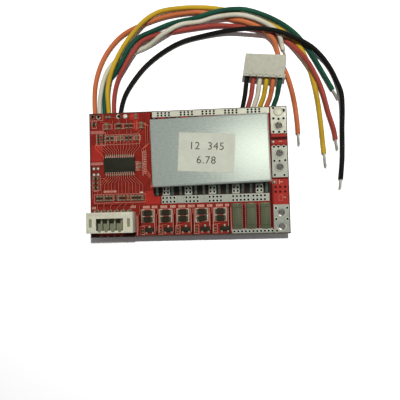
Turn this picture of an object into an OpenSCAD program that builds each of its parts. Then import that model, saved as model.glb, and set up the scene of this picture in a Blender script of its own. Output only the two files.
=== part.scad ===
// Battery management board for a five-cell pack, with its six-way balance lead.
// Millimetres, +Z up. The board is centred on X = Y = 0 and the tips of the
// header's pins stand on Z = 0. -Y is the front edge, where the header's mouth is.

/* [Circuit board] */
// Width of the control area at the board's left end
control_l = 19.1; // [17.5:0.1:24]
// Width of the supply strip along the back edge
back_strip = 1.7; // [1.4:0.1:2.4]
// Width of the strip in front of the transistors
front_strip = 2.3; // [2:0.1:3]
// Thickness of the laminate
board_t = 1.6; // [1:0.2:2.4]
// Thickness of a tinned copper area
copper_t = 0.1; // [0.04:0.02:0.1]
// Bare margin between a copper area and the board's edge
copper_edge = 0.2; // [0.1:0.1:0.4]

/* [Terminals for the heavy wires] */
// Width of a terminal area
term_w = 4.6; // [4:0.1:5.2]
// Bare gap between the terminal areas and the transistors
term_gap = 0.7; // [0.5:0.1:1.5]
// Radius of a wire hole
term_hole_r = 1.1; // [0.8:0.05:1.3]
// Distance between the two wire holes of an area
term_pitch = 4.15; // [3.4:0.05:4.4]
// Distance from a terminal area's left side to its holes
term_inset = 2.25; // [1.9:0.05:2.6]
// Height of the solder cap over the filled hole
cap_h = 0.5; // [0.2:0.1:0.8]

/* [Switching transistors] */
// Gap between neighbouring transistors
fet_gap = 0.5; // [0.3:0.05:1]
// Width of a transistor's body
fet_w = 6.5; // [6:0.1:6.6]
// Length of a transistor's body
fet_l = 6.1; // [5.6:0.1:6.4]
// Height of a transistor's body
fet_h = 2.3; // [1.6:0.1:3]
// Width of the drain tab
tab_w = 5.3; // [4.4:0.1:5.8]
// Thickness of the drain tab and of the leads
tab_t = 0.5; // [0.3:0.05:0.6]
// Length of the tab outside the body
tab_out = 1; // [0.6:0.1:1.4]
// Width of a source or gate lead
fet_lead_w = 0.76; // [0.6:0.02:1]
// Reach of a lead outside the body
fet_lead_l = 2.7; // [2:0.1:2.8]
// Distance between the two outer leads
fet_lead_gap = 4.6; // [4:0.1:5]
// Gap between the tabs of the two rows
fet_row_gap = 4.15; // [3.4:0.05:5]

/* [Heatsink] */
// Length of the heatsink plate
sink_l = 34.2; // [30:0.2:35]
// Width of the heatsink plate
sink_w = 19.7; // [17:0.1:20]
// Thickness of the heatsink plate
sink_t = 3; // [2:0.1:6]
// Bevel round the plate's upper edge
sink_bevel = 0.35; // [0.1:0.05:0.6]
// Thickness of the bonding sheet under the plate
bond_t = 0.2; // [0.1:0.05:0.5]
// Length of the label
label_l = 16.2; // [12:0.1:20]
// Width of the label
label_w = 11.2; // [8:0.1:14]
// Thickness of the label
label_t = 0.1; // [0.05:0.01:0.2]

/* [Controller] */
// Number of leads on each long side
chip_leads = 14; // [8:1:14]
// Distance between the controller's leads
chip_pitch = 0.65; // [0.5:0.05:0.65]
// Length of the controller's body beyond the outermost leads
chip_end = 0.6; // [0.4:0.05:0.8]
// Width of the controller's body
chip_w = 4.4; // [4:0.1:4.6]
// Thickness of the controller's body
chip_t = 0.95; // [0.8:0.05:1.2]
// Gap between a moulded chip and the board
chip_lift = 0.1; // [0.05:0.05:0.2]
// Overall span of the controller over its leads
chip_span = 6.4; // [6:0.1:7]

/* [Balancing channels] */
// Length of a balancing resistor
bal_l = 3.2; // [3:0.05:3.4]
// Width of a balancing resistor
bal_w = 1.6; // [1.4:0.05:1.7]
// Thickness of a balancing resistor
bal_t = 0.6; // [0.4:0.05:0.8]
// Length of a resistor's metal end
bal_cap = 0.5; // [0.3:0.05:0.6]
// Length of a small transistor's body
sot_l = 2.9; // [2.7:0.05:3.1]
// Width of a small transistor's body
sot_w = 1.3; // [1.2:0.05:1.5]
// Thickness of a small transistor's body
sot_t = 0.95; // [0.8:0.05:1.1]
// Overall span of a small transistor over its leads
sot_span = 2.4; // [2.2:0.1:2.6]

/* [Current shunts] */
// Width of a shunt strip
shunt_w = 2.75; // [2.4:0.05:3]
// Length of a shunt strip over its feet
shunt_l = 7.2; // [6.6:0.1:7.6]
// Thickness of the strip
shunt_t = 0.5; // [0.3:0.05:0.8]
// Gap between neighbouring strips
shunt_gap = 1.4; // [1:0.05:1.6]
// Depth of the landing strip along the front edge
shunt_land = 1.5; // [1.2:0.1:1.8]
// Gap between the raised part of a strip and the board
shunt_lift = 0.35; // [0.2:0.05:0.6]

/* [Balance header] */
// Distance between neighbouring contacts
pitch = 2; // [1.9:0.05:2.1]
// Length of the header beyond its outermost pins
header_end = 1.9; // [1.8:0.05:2.2]
// Depth of the header, mouth to back
header_d = 6.1; // [5.6:0.1:6.5]
// Height of the header
header_h = 4.8; // [4.4:0.1:5.6]
// Thickness of the header's end walls
header_wall = 0.75; // [0.6:0.05:0.9]
// Thickness of the header's floor and roof
header_skin = 0.45; // [0.35:0.05:0.6]
// Thickness of the header's back wall
header_back = 1.3; // [1:0.1:1.6]
// Width of the square pins
pin_w = 0.5; // [0.4:0.05:0.6]
// Length of the pins under the board
pin_tail = 3.1; // [3.1:0.1:4]
// Distance from the pins' tips to the header's mouth
pin_inset = 1; // [0.6:0.1:2]

/* [Balance plug] */
// Length of the plug, nose to wire end
plug_l = 6.2; // [5.8:0.1:7]
// Running clearance of the plug in the header, each side
plug_clear = 0.05; // [0.02:0.01:0.15]
// Wall between neighbouring contact chambers
cell_wall = 0.44; // [0.3:0.02:0.5]
// Clearance round a contact in its chamber
cell_clear = 0.03; // [0.01:0.01:0.06]
// Thickness of the plug's nose
plug_nose = 0.6; // [0.4:0.1:1]
// Length of the hood over the wires
hood_l = 0.7; // [0.4:0.1:1.2]
// Diameter of a wire over its insulation
wire_d = 1.4; // [1.2:0.05:1.4]
// Diameter of a tinned wire end
strand_d = 0.8; // [0.6:0.05:1]

/* [Hidden] */
$fn = 48;
e = 0.5;                                  // overshoot of a cut past a face

// Board: the control area, the transistors and the terminals, side by side; and
// strip, back row, front row, strip and shunts, one in front of the other.
fet_count = 5;
shunt_count = 3;
ways = 6;
seam = 0.15;                              // bare gap between leads and a strip
fet_pitch = fet_w + fet_gap;
fet_row_l = fet_lead_l + fet_l + tab_out;
board_l = control_l + 0.4 + fet_count * fet_pitch + term_gap + term_w + copper_edge;
shunt_front = copper_edge + shunt_land + 0.1;
front_zone = shunt_front + shunt_l + 0.8;
board_w = copper_edge + back_strip + 2 * seam + 2 * fet_row_l + fet_row_gap
    + front_strip + front_zone - 0.05;

// Places on the board: from the left, right, back and front edges.
function from_left(x) = x - board_l / 2;
function from_right(x) = board_l / 2 - x;
function from_back(y) = board_w / 2 - y;
function from_front(y) = y - board_w / 2;
z_under = pin_tail;
z_top = pin_tail + board_t;

// Terminal areas: [front end, length, offset of the hole pair, edge it follows].
term_x = from_right(copper_edge + term_w);
term_areas = [
    [from_back(copper_edge + 8), 8, 0.45],
    [from_back(21.3), 9.3, 0.45],
    [from_front(copper_edge), 8.4, -0.25]];
function term_mid(a) = a[0] + a[1] / 2 + a[2];
term_holes = [for (a = term_areas, s = [1, -1])
    [term_x + term_inset, term_mid(a) + s * term_pitch / 2]];

// Switching transistors: a front row, and a back row that faces the other way.
fet_x = from_left(control_l + 0.4 + fet_pitch / 2);
fet_back_shift = -0.6;
fet_reach = fet_row_gap / 2 + fet_row_l;  // lead tips, from the middle line
fet_face = fet_reach - fet_lead_l;        // lead side of the bodies, likewise
fet_mid_y = from_front(front_zone + front_strip + seam) + fet_reach;
fet_group_x = fet_x + fet_pitch * (fet_count - 1) / 2;
function fet_place(i) = [fet_x + i * fet_pitch, fet_mid_y];

// Heatsink and what it carries.
sink_turn = 1.15;
sink_at = [fet_group_x - 0.03, fet_mid_y + 0.57, z_top + fet_h + bond_t];
bond_inset = 0.8;
label_turn = -4.75;
label_at = [-1, -0.7];

// Controller.
chip_l = (chip_leads - 1) * chip_pitch + 2 * chip_end;
chip_at = [from_left(9.3), from_back(16.1), z_top];
chip_lead_w = chip_pitch * 0.37;
lead_t = 0.13;                            // thickness of a fine lead
fine_foot = 0.5;                          // length of a fine lead's foot

// Current shunts, beside the front terminal area.
shunt_pitch = shunt_w + shunt_gap;
shunt_x = term_x - 1.1 - shunt_w / 2 - (shunt_count - 1) * shunt_pitch;
shunt_y = from_front(shunt_front);

// Balancing channels, one for each cell, spread evenly between the header and the
// shunts. Each list holds a channel's small error of placing.
bal_count = 5;
bal_margin = 3.6;
header_right = from_left(0.2) + (ways - 1) * pitch + 2 * header_end;
bal_first = header_right + bal_margin;
bal_pitch = (shunt_x - shunt_w / 2 - bal_margin - bal_first) / (bal_count - 1);
bal_slip = [-0.1, -0.05, -0.3, -0.1, 0];
bal_skew = [0, 1.5, -1, 9, 1];
bal_y = [from_front(7.1), from_front(7.1 - bal_w - 0.4)];
sot_slip = [0.45, 0.7, 0.5, 0.85, 1.2];
sot_y = from_front(0.8 + sot_span / 2);
function bal_place(i, slip) = bal_first + i * bal_pitch + slip[i];

// Small chips: [from left, from back, turn, size, 1 for a capacitor].
chip_sizes = [[1.6, 0.8, 0.45], [1, 0.55, 0.35], [2, 1.15, 0.6]];
back_chips = [
    [1.5, 3.4, 0, 0, 0], [14.5, 1.4, 90, 0, 1], [5.9, 1.3, 0, 0, 1],
    [5.5, 4.2, 90, 2, 1], [9.2, 4.2, 90, 2, 0], [11.6, 4.2, 90, 0, 0],
    [12.9, 4.2, 90, 0, 0], [16.1, 4.2, 90, 2, 1],
    [2.8, 7, 0, 1, 0], [2.8, 7.9, 0, 1, 0], [2.8, 8.8, 0, 1, 0],
    [4.4, 7, 0, 1, 0], [4.4, 7.9, 0, 1, 0], [4.4, 8.8, 0, 1, 0],
    [5.8, 7.9, 90, 0, 0], [7.1, 7.9, 90, 0, 0], [9, 7.9, 90, 0, 1],
    [10.3, 7.9, 90, 0, 1], [11.6, 7.9, 90, 0, 0], [12.8, 7.9, 90, 0, 0],
    [14.7, 7.9, 90, 0, 1], [1.8, 20, 0, 0, 0], [1.8, 21.4, 0, 0, 0],
    [1.8, 22.8, 0, 0, 0], [15.5, 16.4, 90, 0, 1]];
row_chips = [
    [2.3, 26.2, 90, 0, 0], [3.3, 26.2, 90, 0, 0], [4.3, 26.2, 90, 0, 1],
    [5.3, 26.2, 90, 0, 0], [6.4, 26.2, 90, 0, 0], [7.9, 25.7, 0, 1, 0],
    [7.9, 26.6, 0, 1, 0], [9.3, 26.2, 90, 0, 0], [10.4, 26.2, 90, 0, 0],
    [11.7, 26.2, 90, 0, 1], [13.1, 26.2, 90, 0, 0], [14.1, 26.2, 90, 0, 0],
    [15.1, 26.2, 90, 0, 0], [16.1, 26.2, 90, 0, 1]];
side_chip = [-1.65, 1.7, 90, 1, 0];       // beside each small transistor
function chip_place(c) = [from_left(c[0]), from_back(c[1]), z_top];
function side_place(i) = [bal_place(i, bal_slip) + side_chip[0],
    from_front(side_chip[1]), z_top];
end_metal = 0.28;                         // share of a small chip's length in metal
end_step = 0.02;                          // metal stands proud of the body by this

// Holes of the unused programming row, and the square and round bare lands.
link_holes = [[1.1, 1.1], [2.9, 1.1], [9.2, 1.2], [11.2, 1.2]];
link_hole_r = 0.45;
link_land_r = 0.75;
square_land = 0.95;
edge_lands = [0.5, 12.7];                 // in front of the rear terminal area
group_lands = [[1.2, 17], [2.5, 17], [1.2, 18.85], [2.5, 18.85]];

// Balance header, placed from the left and front edges.
header_w = (ways - 1) * pitch + 2 * header_end;
header_x = from_left(0.2) + header_w / 2;
header_y = from_front(1.45);
mouth_w = header_w - 2 * header_wall;
mouth_h = header_h - 2 * header_skin;
mouth_d = header_d - header_back;
mouth_mid = header_h / 2;
pin_gap = 0.1;                            // pins' legs stand clear of the back
pin_y = header_d + pin_gap + pin_w / 2;
pin_point = pin_w * 0.25;
pin_bend = pin_w * 0.6;
pin_hole_r = pin_w * 0.5 * sqrt(2) + 0.1;
lip = 0.75;                               // roof in front of the window
window_w = (ways - 2) * pitch;
window_d = header_d - lip - 1.85;
notch_w = 0.85;
notch_l = 2.4;
function way_x(i) = (i - (ways - 1) / 2) * pitch;

// Balance plug, lying upside up behind the board with its right end raised.
plug_w = mouth_w - 2 * plug_clear;
plug_h = mouth_h - 2 * plug_clear;
plug_at = [24.5, 31.8];
plug_turn = -9;
plug_tilt = 9;
cell = pitch - cell_wall;
hood_t = (plug_h - cell) / 2;
ear = plug_clear + 0.3;                   // foot that stops against the mouth
function plug_pt(x, y, z) = [
    plug_at[0] + (x * cos(plug_tilt) - z * sin(plug_tilt)) * cos(plug_turn)
        - y * sin(plug_turn),
    plug_at[1] + (x * cos(plug_tilt) - z * sin(plug_tilt)) * sin(plug_turn)
        + y * cos(plug_turn),
    (x + plug_w / 2) * sin(plug_tilt) + z * cos(plug_tilt)];
function wire_start(i) = [for (s = [0, 2.5])
    plug_pt(way_x(i), -plug_l / 2 - s, plug_h / 2)];

// Routes of the six wires, from the plug under the board and round it.
route_black = [[18, 23.8, 1.4], [16.9, 18.8, 0.8], [16.3, 15.3, 0.7],
    [14.6, 12.4, 0.7], [11.5, 10.7, 0.7], [4, 9.9, 0.7], [-5, 8.9, 0.7],
    [-11, 8.6, 0.7], [-16.2, 9.2, 0.7], [-18.9, 11.1, 0.7], [-20.8, 13.8, 0.7],
    [-21.4, 18.5, 0.7], [-19.9, 25, 0.7], [-16.4, 30.6, 0.7], [-12.2, 35.2, 0.7],
    [-6.8, 39.1, 0.7], [-1.2, 41.8, 0.7], [5, 43.2, 0.8], [12.6, 44.1, 1.5],
    [20, 43.7, 3.3], [25.4, 42.9, 3.75], [29.2, 41.9, 3.7], [33, 40.6, 2.9],
    [38, 37.9, 2.3], [41.4, 35.1, 1.3], [43.8, 32, 0.7], [45.7, 28, 0.7],
    [46.9, 23.2, 2], [47.3, 18.6, 1.5], [47.2, 12, 0.7], [46.9, 3.5, 0.7],
    [46.2, -3.2, 0.7]];
route_red = [[19.9, 23.6, 1.6], [18.5, 18.8, 0.8], [17.7, 14.7, 0.7],
    [15.6, 11.4, 0.7], [12.3, 9.3, 0.7], [4, 8.2, 0.7], [-5, 7.3, 0.7],
    [-11, 6.8, 0.7], [-16.9, 7.6, 0.7], [-20.2, 9.8, 0.7], [-22.4, 13.1, 0.7],
    [-23.3, 18.5, 0.7], [-23.2, 25, 0.7], [-21.9, 30.4, 0.8], [-19.5, 34.4, 1.6],
    [-16.7, 38.6, 2.2], [-13.6, 42.3, 1.7], [-8.6, 44.5, 0.7], [-3, 45.3, 0.7],
    [4.6, 46.1, 0.7], [10.6, 46.4, 0.7], [16.5, 45.7, 0.7], [21.5, 44.7, 0.7],
    [25.4, 43.5, 0.7], [28.6, 42.2, 0.7], [31.6, 40.1, 0.7], [34.2, 37.2, 1.5],
    [37, 33.4, 2.2], [39.4, 28.9, 2.1], [41.6, 24, 1.1], [43.2, 17.5, 0.7],
    [44.6, 12.4, 0.7], [45.1, 9, 0.7]];
route_white = [[21.8, 23.4, 1.8], [20.2, 18.8, 0.9], [19.2, 14.1, 0.7],
    [16.7, 10.3, 0.7], [12.9, 7.8, 0.8], [8, 6.5, 1.5], [2, 5.2, 2.15],
    [-4, 4.2, 2.15], [-9.5, 3.1, 2.15], [-14.2, 2.3, 1.7], [-18.7, 3.3, 0.8],
    [-23.5, 6.5, 0.7], [-26.7, 11.3, 0.7], [-27.9, 18.5, 0.7], [-27.8, 24.5, 0.7],
    [-26.4, 31, 0.7], [-23.9, 35.4, 0.7], [-20.4, 38, 0.7], [-16.2, 39.4, 0.7],
    [-11.8, 41.1, 0.8], [-7, 43.9, 2.2], [-1.6, 46.7, 1.9], [4.7, 47.8, 1],
    [10.2, 48.5, 2.1], [16.6, 48.7, 2.2], [21.6, 47.3, 2.2], [25.8, 45, 2.2],
    [28.1, 42.9, 2.3], [29.2, 40.9, 2], [29.8, 39.2, 1], [30.3, 37.6, 0.7]];
route_yellow = [[23.7, 23.2, 2], [22, 18.8, 1], [20.8, 13.4, 0.7],
    [17.9, 9.1, 0.7], [13.6, 6.2, 0.7], [8, 4.6, 0.7], [1, 4, 0.7],
    [-5, 4.8, 0.7], [-11.5, 5.3, 0.7], [-17.5, 6.1, 0.7], [-21.3, 8.7, 0.7],
    [-23.9, 12.5, 0.7], [-24.9, 18.5, 0.7], [-25, 22.5, 1.4], [-24.9, 26.6, 2.2],
    [-24.1, 31, 2.2], [-22.5, 35.4, 2.2], [-19.6, 40.6, 2.2], [-16.2, 45, 2.2],
    [-12.6, 48.6, 2.2], [-8.2, 51.3, 1.7], [-2.4, 52.6, 0.7], [4.8, 52.5, 0.7],
    [10.5, 51.7, 0.7], [16, 50.2, 0.7], [22, 47.9, 0.7], [28, 45, 0.7],
    [32.6, 41.5, 0.7], [35.6, 37.8, 0.7], [37.5, 33.4, 0.7], [38.8, 28.8, 0.7],
    [40, 22.5, 0.7], [40.8, 15, 0.7], [41.2, 9, 0.7], [41.5, 4.9, 0.7]];
route_orange = [[25.7, 23, 2.2], [24, 18.8, 1.1], [22.5, 12.7, 0.7],
    [19.2, 7.8, 0.7], [14.3, 4.5, 1.6], [8, 2.7, 2.15], [1, 1.4, 2.15],
    [-5, 0.7, 1.3], [-12.5, 0.6, 0.7], [-19.2, 1.9, 0.7], [-24.9, 5.1, 0.7],
    [-28.4, 10.6, 0.7], [-29.3, 17, 0.7], [-29.6, 24, 0.7], [-29.1, 30, 0.7],
    [-27.2, 36, 0.7], [-24, 41.2, 0.7], [-19.6, 45.3, 0.7], [-13.2, 48.2, 0.7],
    [-6.2, 50.2, 0.7], [0, 50.9, 0.7], [5, 50.9, 0.7], [10.5, 49.4, 0.7],
    [15, 48, 0.7], [18.4, 46.7, 1.7], [21.6, 45.1, 2.2], [24.8, 43, 2.2],
    [27.2, 40.6, 1.7], [28.3, 37.8, 0.8], [29, 34.9, 0.7], [30.1, 32.2, 0.7],
    [31.3, 29.2, 0.7], [32.4, 25, 0.7], [33.2, 20.5, 0.7], [33.7, 15.6, 0.7],
    [33.9, 11.2, 0.7]];
route_green = [[27.7, 22.8, 2.4], [26.2, 18.8, 1.2], [24.6, 11.8, 0.7],
    [20.8, 6.2, 0.7], [15.2, 2.4, 0.7], [8.6, 1.1, 0.7], [2, 1.7, 0.7],
    [-5.5, 2.9, 0.7], [-12, 3.8, 0.7], [-18.1, 4.7, 0.7], [-22.4, 7.6, 0.7],
    [-25.3, 11.9, 0.7], [-26.4, 18.5, 0.7], [-26.2, 25.4, 0.7], [-25, 30, 0.7],
    [-22.8, 32.8, 0.8], [-20.4, 35.8, 1.8], [-18.2, 39.6, 2.3], [-15, 43.1, 2],
    [-10.4, 45.7, 0.9], [-4, 48, 0.7], [3, 49.1, 0.8], [7.8, 49.7, 2.2],
    [13, 50.5, 2.2], [18.5, 50.3, 2.2], [23.8, 49, 1.3], [29, 46.6, 0.7],
    [33.6, 43, 0.7], [37.1, 38.7, 0.7], [39.6, 34.4, 0.7], [42, 29.8, 0.7],
    [44.8, 24.4, 0.7]];
routes = [route_black, route_red, route_white, route_yellow, route_orange,
    route_green];
bare_l = [3, 3.3, 1.8, 4.4, 3.6, 3.4];    // tinned length of each wire's end
function whole_route(i) = concat(wire_start(i), routes[i]);

// ---- Curves for the wires -------------------------------------------------
// Point at t of the smooth curve from b to c, with a before and d after them.
function curve(a, b, c, d, t) = 0.5 * (2 * b + (c - a) * t
    + (2 * a - 5 * b + 4 * c - d) * t * t + (3 * b - a - 3 * c + d) * t * t * t);
function lay(p) = [p[0], p[1], max(p[2], wire_d / 2)];
function smooth(p, k = 2) = let (n = len(p),
        q = concat([2 * p[0] - p[1]], p, [2 * p[n - 1] - p[n - 2]]))
    concat([for (i = [0:n - 2], j = [0:k - 1])
        lay(curve(q[i], q[i + 1], q[i + 2], q[i + 3], j / k))], [lay(p[n - 1])]);
function unit(v) = v / norm(v);
function heading(c, i) = unit(c[min(i + 1, len(c) - 1)] - c[max(i - 1, 0)]);
function first_heading() = unit(plug_pt(0, -1, 0) - plug_pt(0, 0, 0));
// Ring of m points square to heading h, round point p.
function ring(p, h, r, m) = let (s = unit(cross([0, 0, 1], h)), u = cross(h, s))
    [for (j = [0:m - 1]) p + r * (cos(360 * j / m) * s + sin(360 * j / m) * u)];

module tube(c, r, m = 8) {
    n = len(c);
    pts = [for (i = [0:n - 1], p = ring(c[i], i == 0 ? first_heading() :
        heading(c, i), r, m)) p];
    sides = [for (i = [0:n - 2], j = [0:m - 1])
        [i * m + j, (i + 1) * m + j, (i + 1) * m + (j + 1) % m, i * m + (j + 1) % m]];
    first = [[for (j = [0:m - 1]) j]];
    last = [[for (j = [m - 1:-1:0]) (n - 1) * m + j]];
    polyhedron(pts,
        concat(sides, first, last), convexity = 10);
}

module wire(i) {
    tube(smooth(whole_route(i)), wire_d / 2);
}

// ---- Shared shapes --------------------------------------------------------
// Moulded body with drafted sides, standing on z = 0 and centred in x and y.
module moulded(l, w, h, draft) {
    function side(s) = [[-s / 2 + draft, 0], [s / 2 - draft, 0], [s / 2, h * 0.5],
        [s / 2 - draft, h], [-s / 2 + draft, h], [-s / 2, h * 0.5]];
    intersection() {
        rotate([90, 0, 0])
            linear_extrude(w, center = true)
                polygon(side(l));
        rotate([90, 0, 90])
            linear_extrude(l, center = true)
                polygon(side(w));
    }
}

// Gull-wing lead: leaves a body at x = 0 and height h, and stands on z = 0.
module gull(reach, h, foot, w, t) {
    shoulder = (reach - foot) * 0.45;
    rotate([90, 0, 0])
        linear_extrude(w, center = true)
            polygon([[0, h], [shoulder, h], [reach - foot, t], [reach, t],
                [reach, 0], [reach - foot - t * 0.7, 0], [shoulder - t * 0.5, h - t],
                [0, h - t]]);
}

module copper(x0, x1, y0, y1) {
    translate([x0, y0, z_top])
        cube([x1 - x0, y1 - y0, copper_t]);
}

module through(p, r) {
    translate([p[0], p[1], z_under - copper_t - e])
        cylinder(h = board_t + 2 * copper_t + 2 * e, r = r);
}

// ---- Board and copper -----------------------------------------------------
module pcb() {
    color("#8E1F18") difference() {
        translate([-board_l / 2, -board_w / 2, z_under])
            cube([board_l, board_w, board_t]);
        for (p = term_holes)
            through(p, term_hole_r);
        for (i = [0:ways - 1])
            through([header_x + way_x(i), header_y + pin_y], pin_hole_r);
        for (p = link_holes)
            through([from_left(p[0]), from_back(p[1])], link_hole_r);
    }
}

module terminal_pads() {
    color("#8F9A8C") difference() {
        for (a = term_areas)
            copper(term_x, term_x + term_w, a[0], a[0] + a[1]);
        for (p = term_holes)
            through(p, term_hole_r);
    }
}

module terminal_solder() {
    p = term_holes[0];
    color("#B9BDB4") translate([p[0], p[1], 0]) {
        translate([0, 0, z_under - copper_t])
            cylinder(h = board_t + 2 * copper_t, r = term_hole_r);
        translate([0, 0, z_top + copper_t])
            cylinder(h = cap_h, r1 = term_hole_r * 1.3, r2 = term_hole_r * 0.5);
    }
}

module bus_pads() {
    color("#8F9A8C") {
        // Supply strip behind the back row's leads.
        copper(fet_x - fet_pitch / 2, fet_x + fet_pitch * (fet_count - 0.5) + 0.3,
            from_back(copper_edge + back_strip), from_back(copper_edge));
        // Strip in front of the front row's leads.
        copper(fet_x - 1.1, fet_x + fet_pitch * (fet_count - 1) + 3.1,
            from_front(front_zone), from_front(front_zone + front_strip));
        // Drain area between the two rows.
        copper(fet_x - fet_pitch / 2, fet_x + fet_pitch * (fet_count - 1) + 3.2,
            fet_mid_y - fet_row_gap / 2 + seam, fet_mid_y + fet_row_gap / 2 - seam);
        // Landing strip of the shunts' front feet.
        copper(shunt_x - shunt_w / 2 - 0.2, term_x - 0.4,
            from_front(copper_edge), from_front(copper_edge + shunt_land));
    }
}

// Copper areas on the underside, seen from above.
module underside_copper() {
    right = from_right(copper_edge);
    color("#8F9A8C") translate([0, 0, z_under - copper_t]) difference() {
        linear_extrude(copper_t) {
            polygon([[from_right(41.6), from_back(7.9)], [right, from_back(7.9)],
                [right, from_back(0.3)], [from_right(4.9), from_back(0.3)],
                [from_right(4.9), from_back(1.5)], [from_right(41.6), from_back(1.5)]]);
            polygon([[from_right(41.7), from_back(20.85)], [right, from_back(20.85)],
                [right, from_back(10.65)], [from_right(41.7), from_back(10.65)]]);
            polygon([[from_right(5.85), from_front(15.3)],
                [from_right(40.65), from_front(15.3)], [from_right(40.65), from_front(11)],
                [from_right(38.2), from_front(9.5)], [from_right(33.9), from_front(7.9)],
                [from_right(30.8), from_front(8.1)], [from_right(28.9), from_front(6.6)],
                [from_right(10.1), from_front(6.4)], [from_right(5.85), from_front(10.6)]]);
            polygon([[right, from_front(8.3)], [from_right(6), from_front(8.3)],
                [from_right(10.1), from_front(5)], [from_right(17.4), from_front(5.2)],
                [from_right(17), from_front(0.5)], [right, from_front(0.5)]]);
        }
        for (p = term_holes)
            translate([p[0], p[1], -e])
                cylinder(h = copper_t + 2 * e, r = term_hole_r);
    }
}

module small_lands() {
    color("#B9B79C") {
        for (p = link_holes)
            translate([from_left(p[0]), from_back(p[1]), z_top])
                difference() {
                    cylinder(h = copper_t, r = link_land_r);
                    translate([0, 0, -e])
                        cylinder(h = copper_t + 2 * e, r = link_hole_r);
                }
        for (y = edge_lands)
            translate([term_x + 0.4, from_back(10.1 + y), z_top + copper_t / 2])
                cube([square_land, square_land, copper_t], center = true);
        for (p = group_lands)
            translate([from_left(p[0]), from_back(p[1]), z_top + copper_t / 2])
                cube([square_land, square_land * 1.2, copper_t], center = true);
    }
}

// ---- Switching transistors ------------------------------------------------
// Places the children at each transistor, leads towards -Y from the origin.
module each_fet() {
    for (i = [0:fet_count - 1]) {
        p = fet_place(i);
        translate([p[0], p[1] - fet_face, z_top])
            children();
        translate([p[0] + fet_back_shift, p[1] + fet_face, z_top])
            rotate([0, 0, 180])
                children();
    }
}

// The body stands over its tab, which sinks into the moulding from below.
module mosfet_bodies() {
    color("#23241F") each_fet()
        difference() {
            translate([0, fet_l / 2, 0])
                moulded(fet_w, fet_l, fet_h, 0.2);
            translate([-tab_w / 2, fet_l * 0.25, -e])
                cube([tab_w, fet_l, tab_t + e]);
            for (x = [-1, 0, 1])
                translate([x * fet_lead_gap / 2 - fet_lead_w / 2, -e, fet_h / 2 - tab_t])
                    cube([fet_lead_w, 0.8 + e, tab_t]);
        }
}

module mosfet_tabs() {
    notch = 0.5;
    color("#C3C7BE") each_fet()
        linear_extrude(tab_t)
            polygon([[-tab_w / 2, fet_l * 0.25], [tab_w / 2, fet_l * 0.25],
                [tab_w / 2, fet_l + tab_out - notch], [tab_w / 2 - notch, fet_l + tab_out],
                [-tab_w / 2 + notch, fet_l + tab_out],
                [-tab_w / 2, fet_l + tab_out - notch]]);
}

module mosfet_leads() {
    root = 0.8;
    foot = 1.2;
    h = fet_h / 2;
    color("#C3C7BE") each_fet() {
        for (s = [-1, 1])
            translate([s * fet_lead_gap / 2, 0, 0])
                rotate([90, 0, 90])
                    linear_extrude(fet_lead_w, center = true)
                        polygon([[root, h], [-0.5, h],
                            [-fet_lead_l + foot, tab_t], [-fet_lead_l, tab_t],
                            [-fet_lead_l, 0], [-fet_lead_l + foot + 0.3, 0],
                            [-0.3, h - tab_t], [root, h - tab_t]]);
        // Cropped middle lead.
        translate([-fet_lead_w / 2, -0.6, h - tab_t])
            cube([fet_lead_w, 0.6 + root, tab_t]);
    }
}

// ---- Heatsink -------------------------------------------------------------
module on_sink() {
    translate(sink_at)
        rotate([0, 0, sink_turn])
            children();
}

module thermal_sheet() {
    color("#B8B7AE") on_sink()
        translate([-sink_l / 2 + bond_inset, -sink_w / 2 + bond_inset, -bond_t])
            cube([sink_l - 2 * bond_inset, sink_w - 2 * bond_inset, bond_t]);
}

module heatsink() {
    function bevelled(s) = [[-s / 2, 0], [s / 2, 0], [s / 2, sink_t - sink_bevel],
        [s / 2 - sink_bevel, sink_t], [-s / 2 + sink_bevel, sink_t],
        [-s / 2, sink_t - sink_bevel]];
    color("#C4CAC8") on_sink()
        intersection() {
            rotate([90, 0, 0])
                linear_extrude(sink_w, center = true)
                    polygon(bevelled(sink_l));
            rotate([90, 0, 90])
                linear_extrude(sink_l, center = true)
                    polygon(bevelled(sink_w));
        }
}

module rating_label() {
    color("#C9CBC0") on_sink()
        translate([label_at[0], label_at[1], sink_t])
            rotate([0, 0, label_turn])
                translate([-label_l / 2, -label_w / 2, 0])
                    cube([label_l, label_w, label_t]);
}

// ---- Controller -----------------------------------------------------------
module controller_chip() {
    color("#2B2D26") translate([chip_at[0], chip_at[1], z_top + chip_lift])
        difference() {
            moulded(chip_l, chip_w, chip_t, 0.1);
            translate([-chip_l / 2 + 0.9, -chip_w / 2 + 0.9, chip_t - 0.06])
                cylinder(h = 1, r = 0.4);
        }
}

module controller_leads() {
    out = (chip_span - chip_w) / 2;
    color("#B9BDB4") translate(chip_at)
        for (i = [0:chip_leads - 1], s = [-1, 1])
            translate([(i - (chip_leads - 1) / 2) * chip_pitch, s * chip_w / 2, 0])
                rotate([0, 0, 90 * s])
                    gull(out, chip_lift + chip_t / 2 + lead_t / 2, fine_foot,
                        chip_lead_w, lead_t);
}

// ---- Balancing channels ---------------------------------------------------
module each_bal() {
    for (i = [0:bal_count - 1], k = [0, 1])
        translate([bal_place(i, bal_slip), bal_y[k], z_top])
            rotate([0, 0, k * bal_skew[i]])
                children();
}

module balance_resistors() {
    step = 0.04;
    color("#24251F") each_bal()
        translate([-bal_l / 2 + step, -bal_w / 2, step])
            cube([bal_l - 2 * step, bal_w, bal_t - 2 * step]);
}

module balance_terminals() {
    step = 0.04;
    color("#B9BDB4") each_bal()
        for (turn = [0, 180])
            rotate([0, 0, turn])
                translate([-bal_l / 2, -bal_w / 2, 0])
                    difference() {
                        cube([bal_cap, bal_w, bal_t]);
                        translate([step, -e, step])
                            cube([bal_cap, bal_w + 2 * e, bal_t - 2 * step]);
                    }
}

module each_sot() {
    for (i = [0:bal_count - 1])
        translate([bal_place(i, sot_slip), sot_y, z_top])
            children();
}

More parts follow.
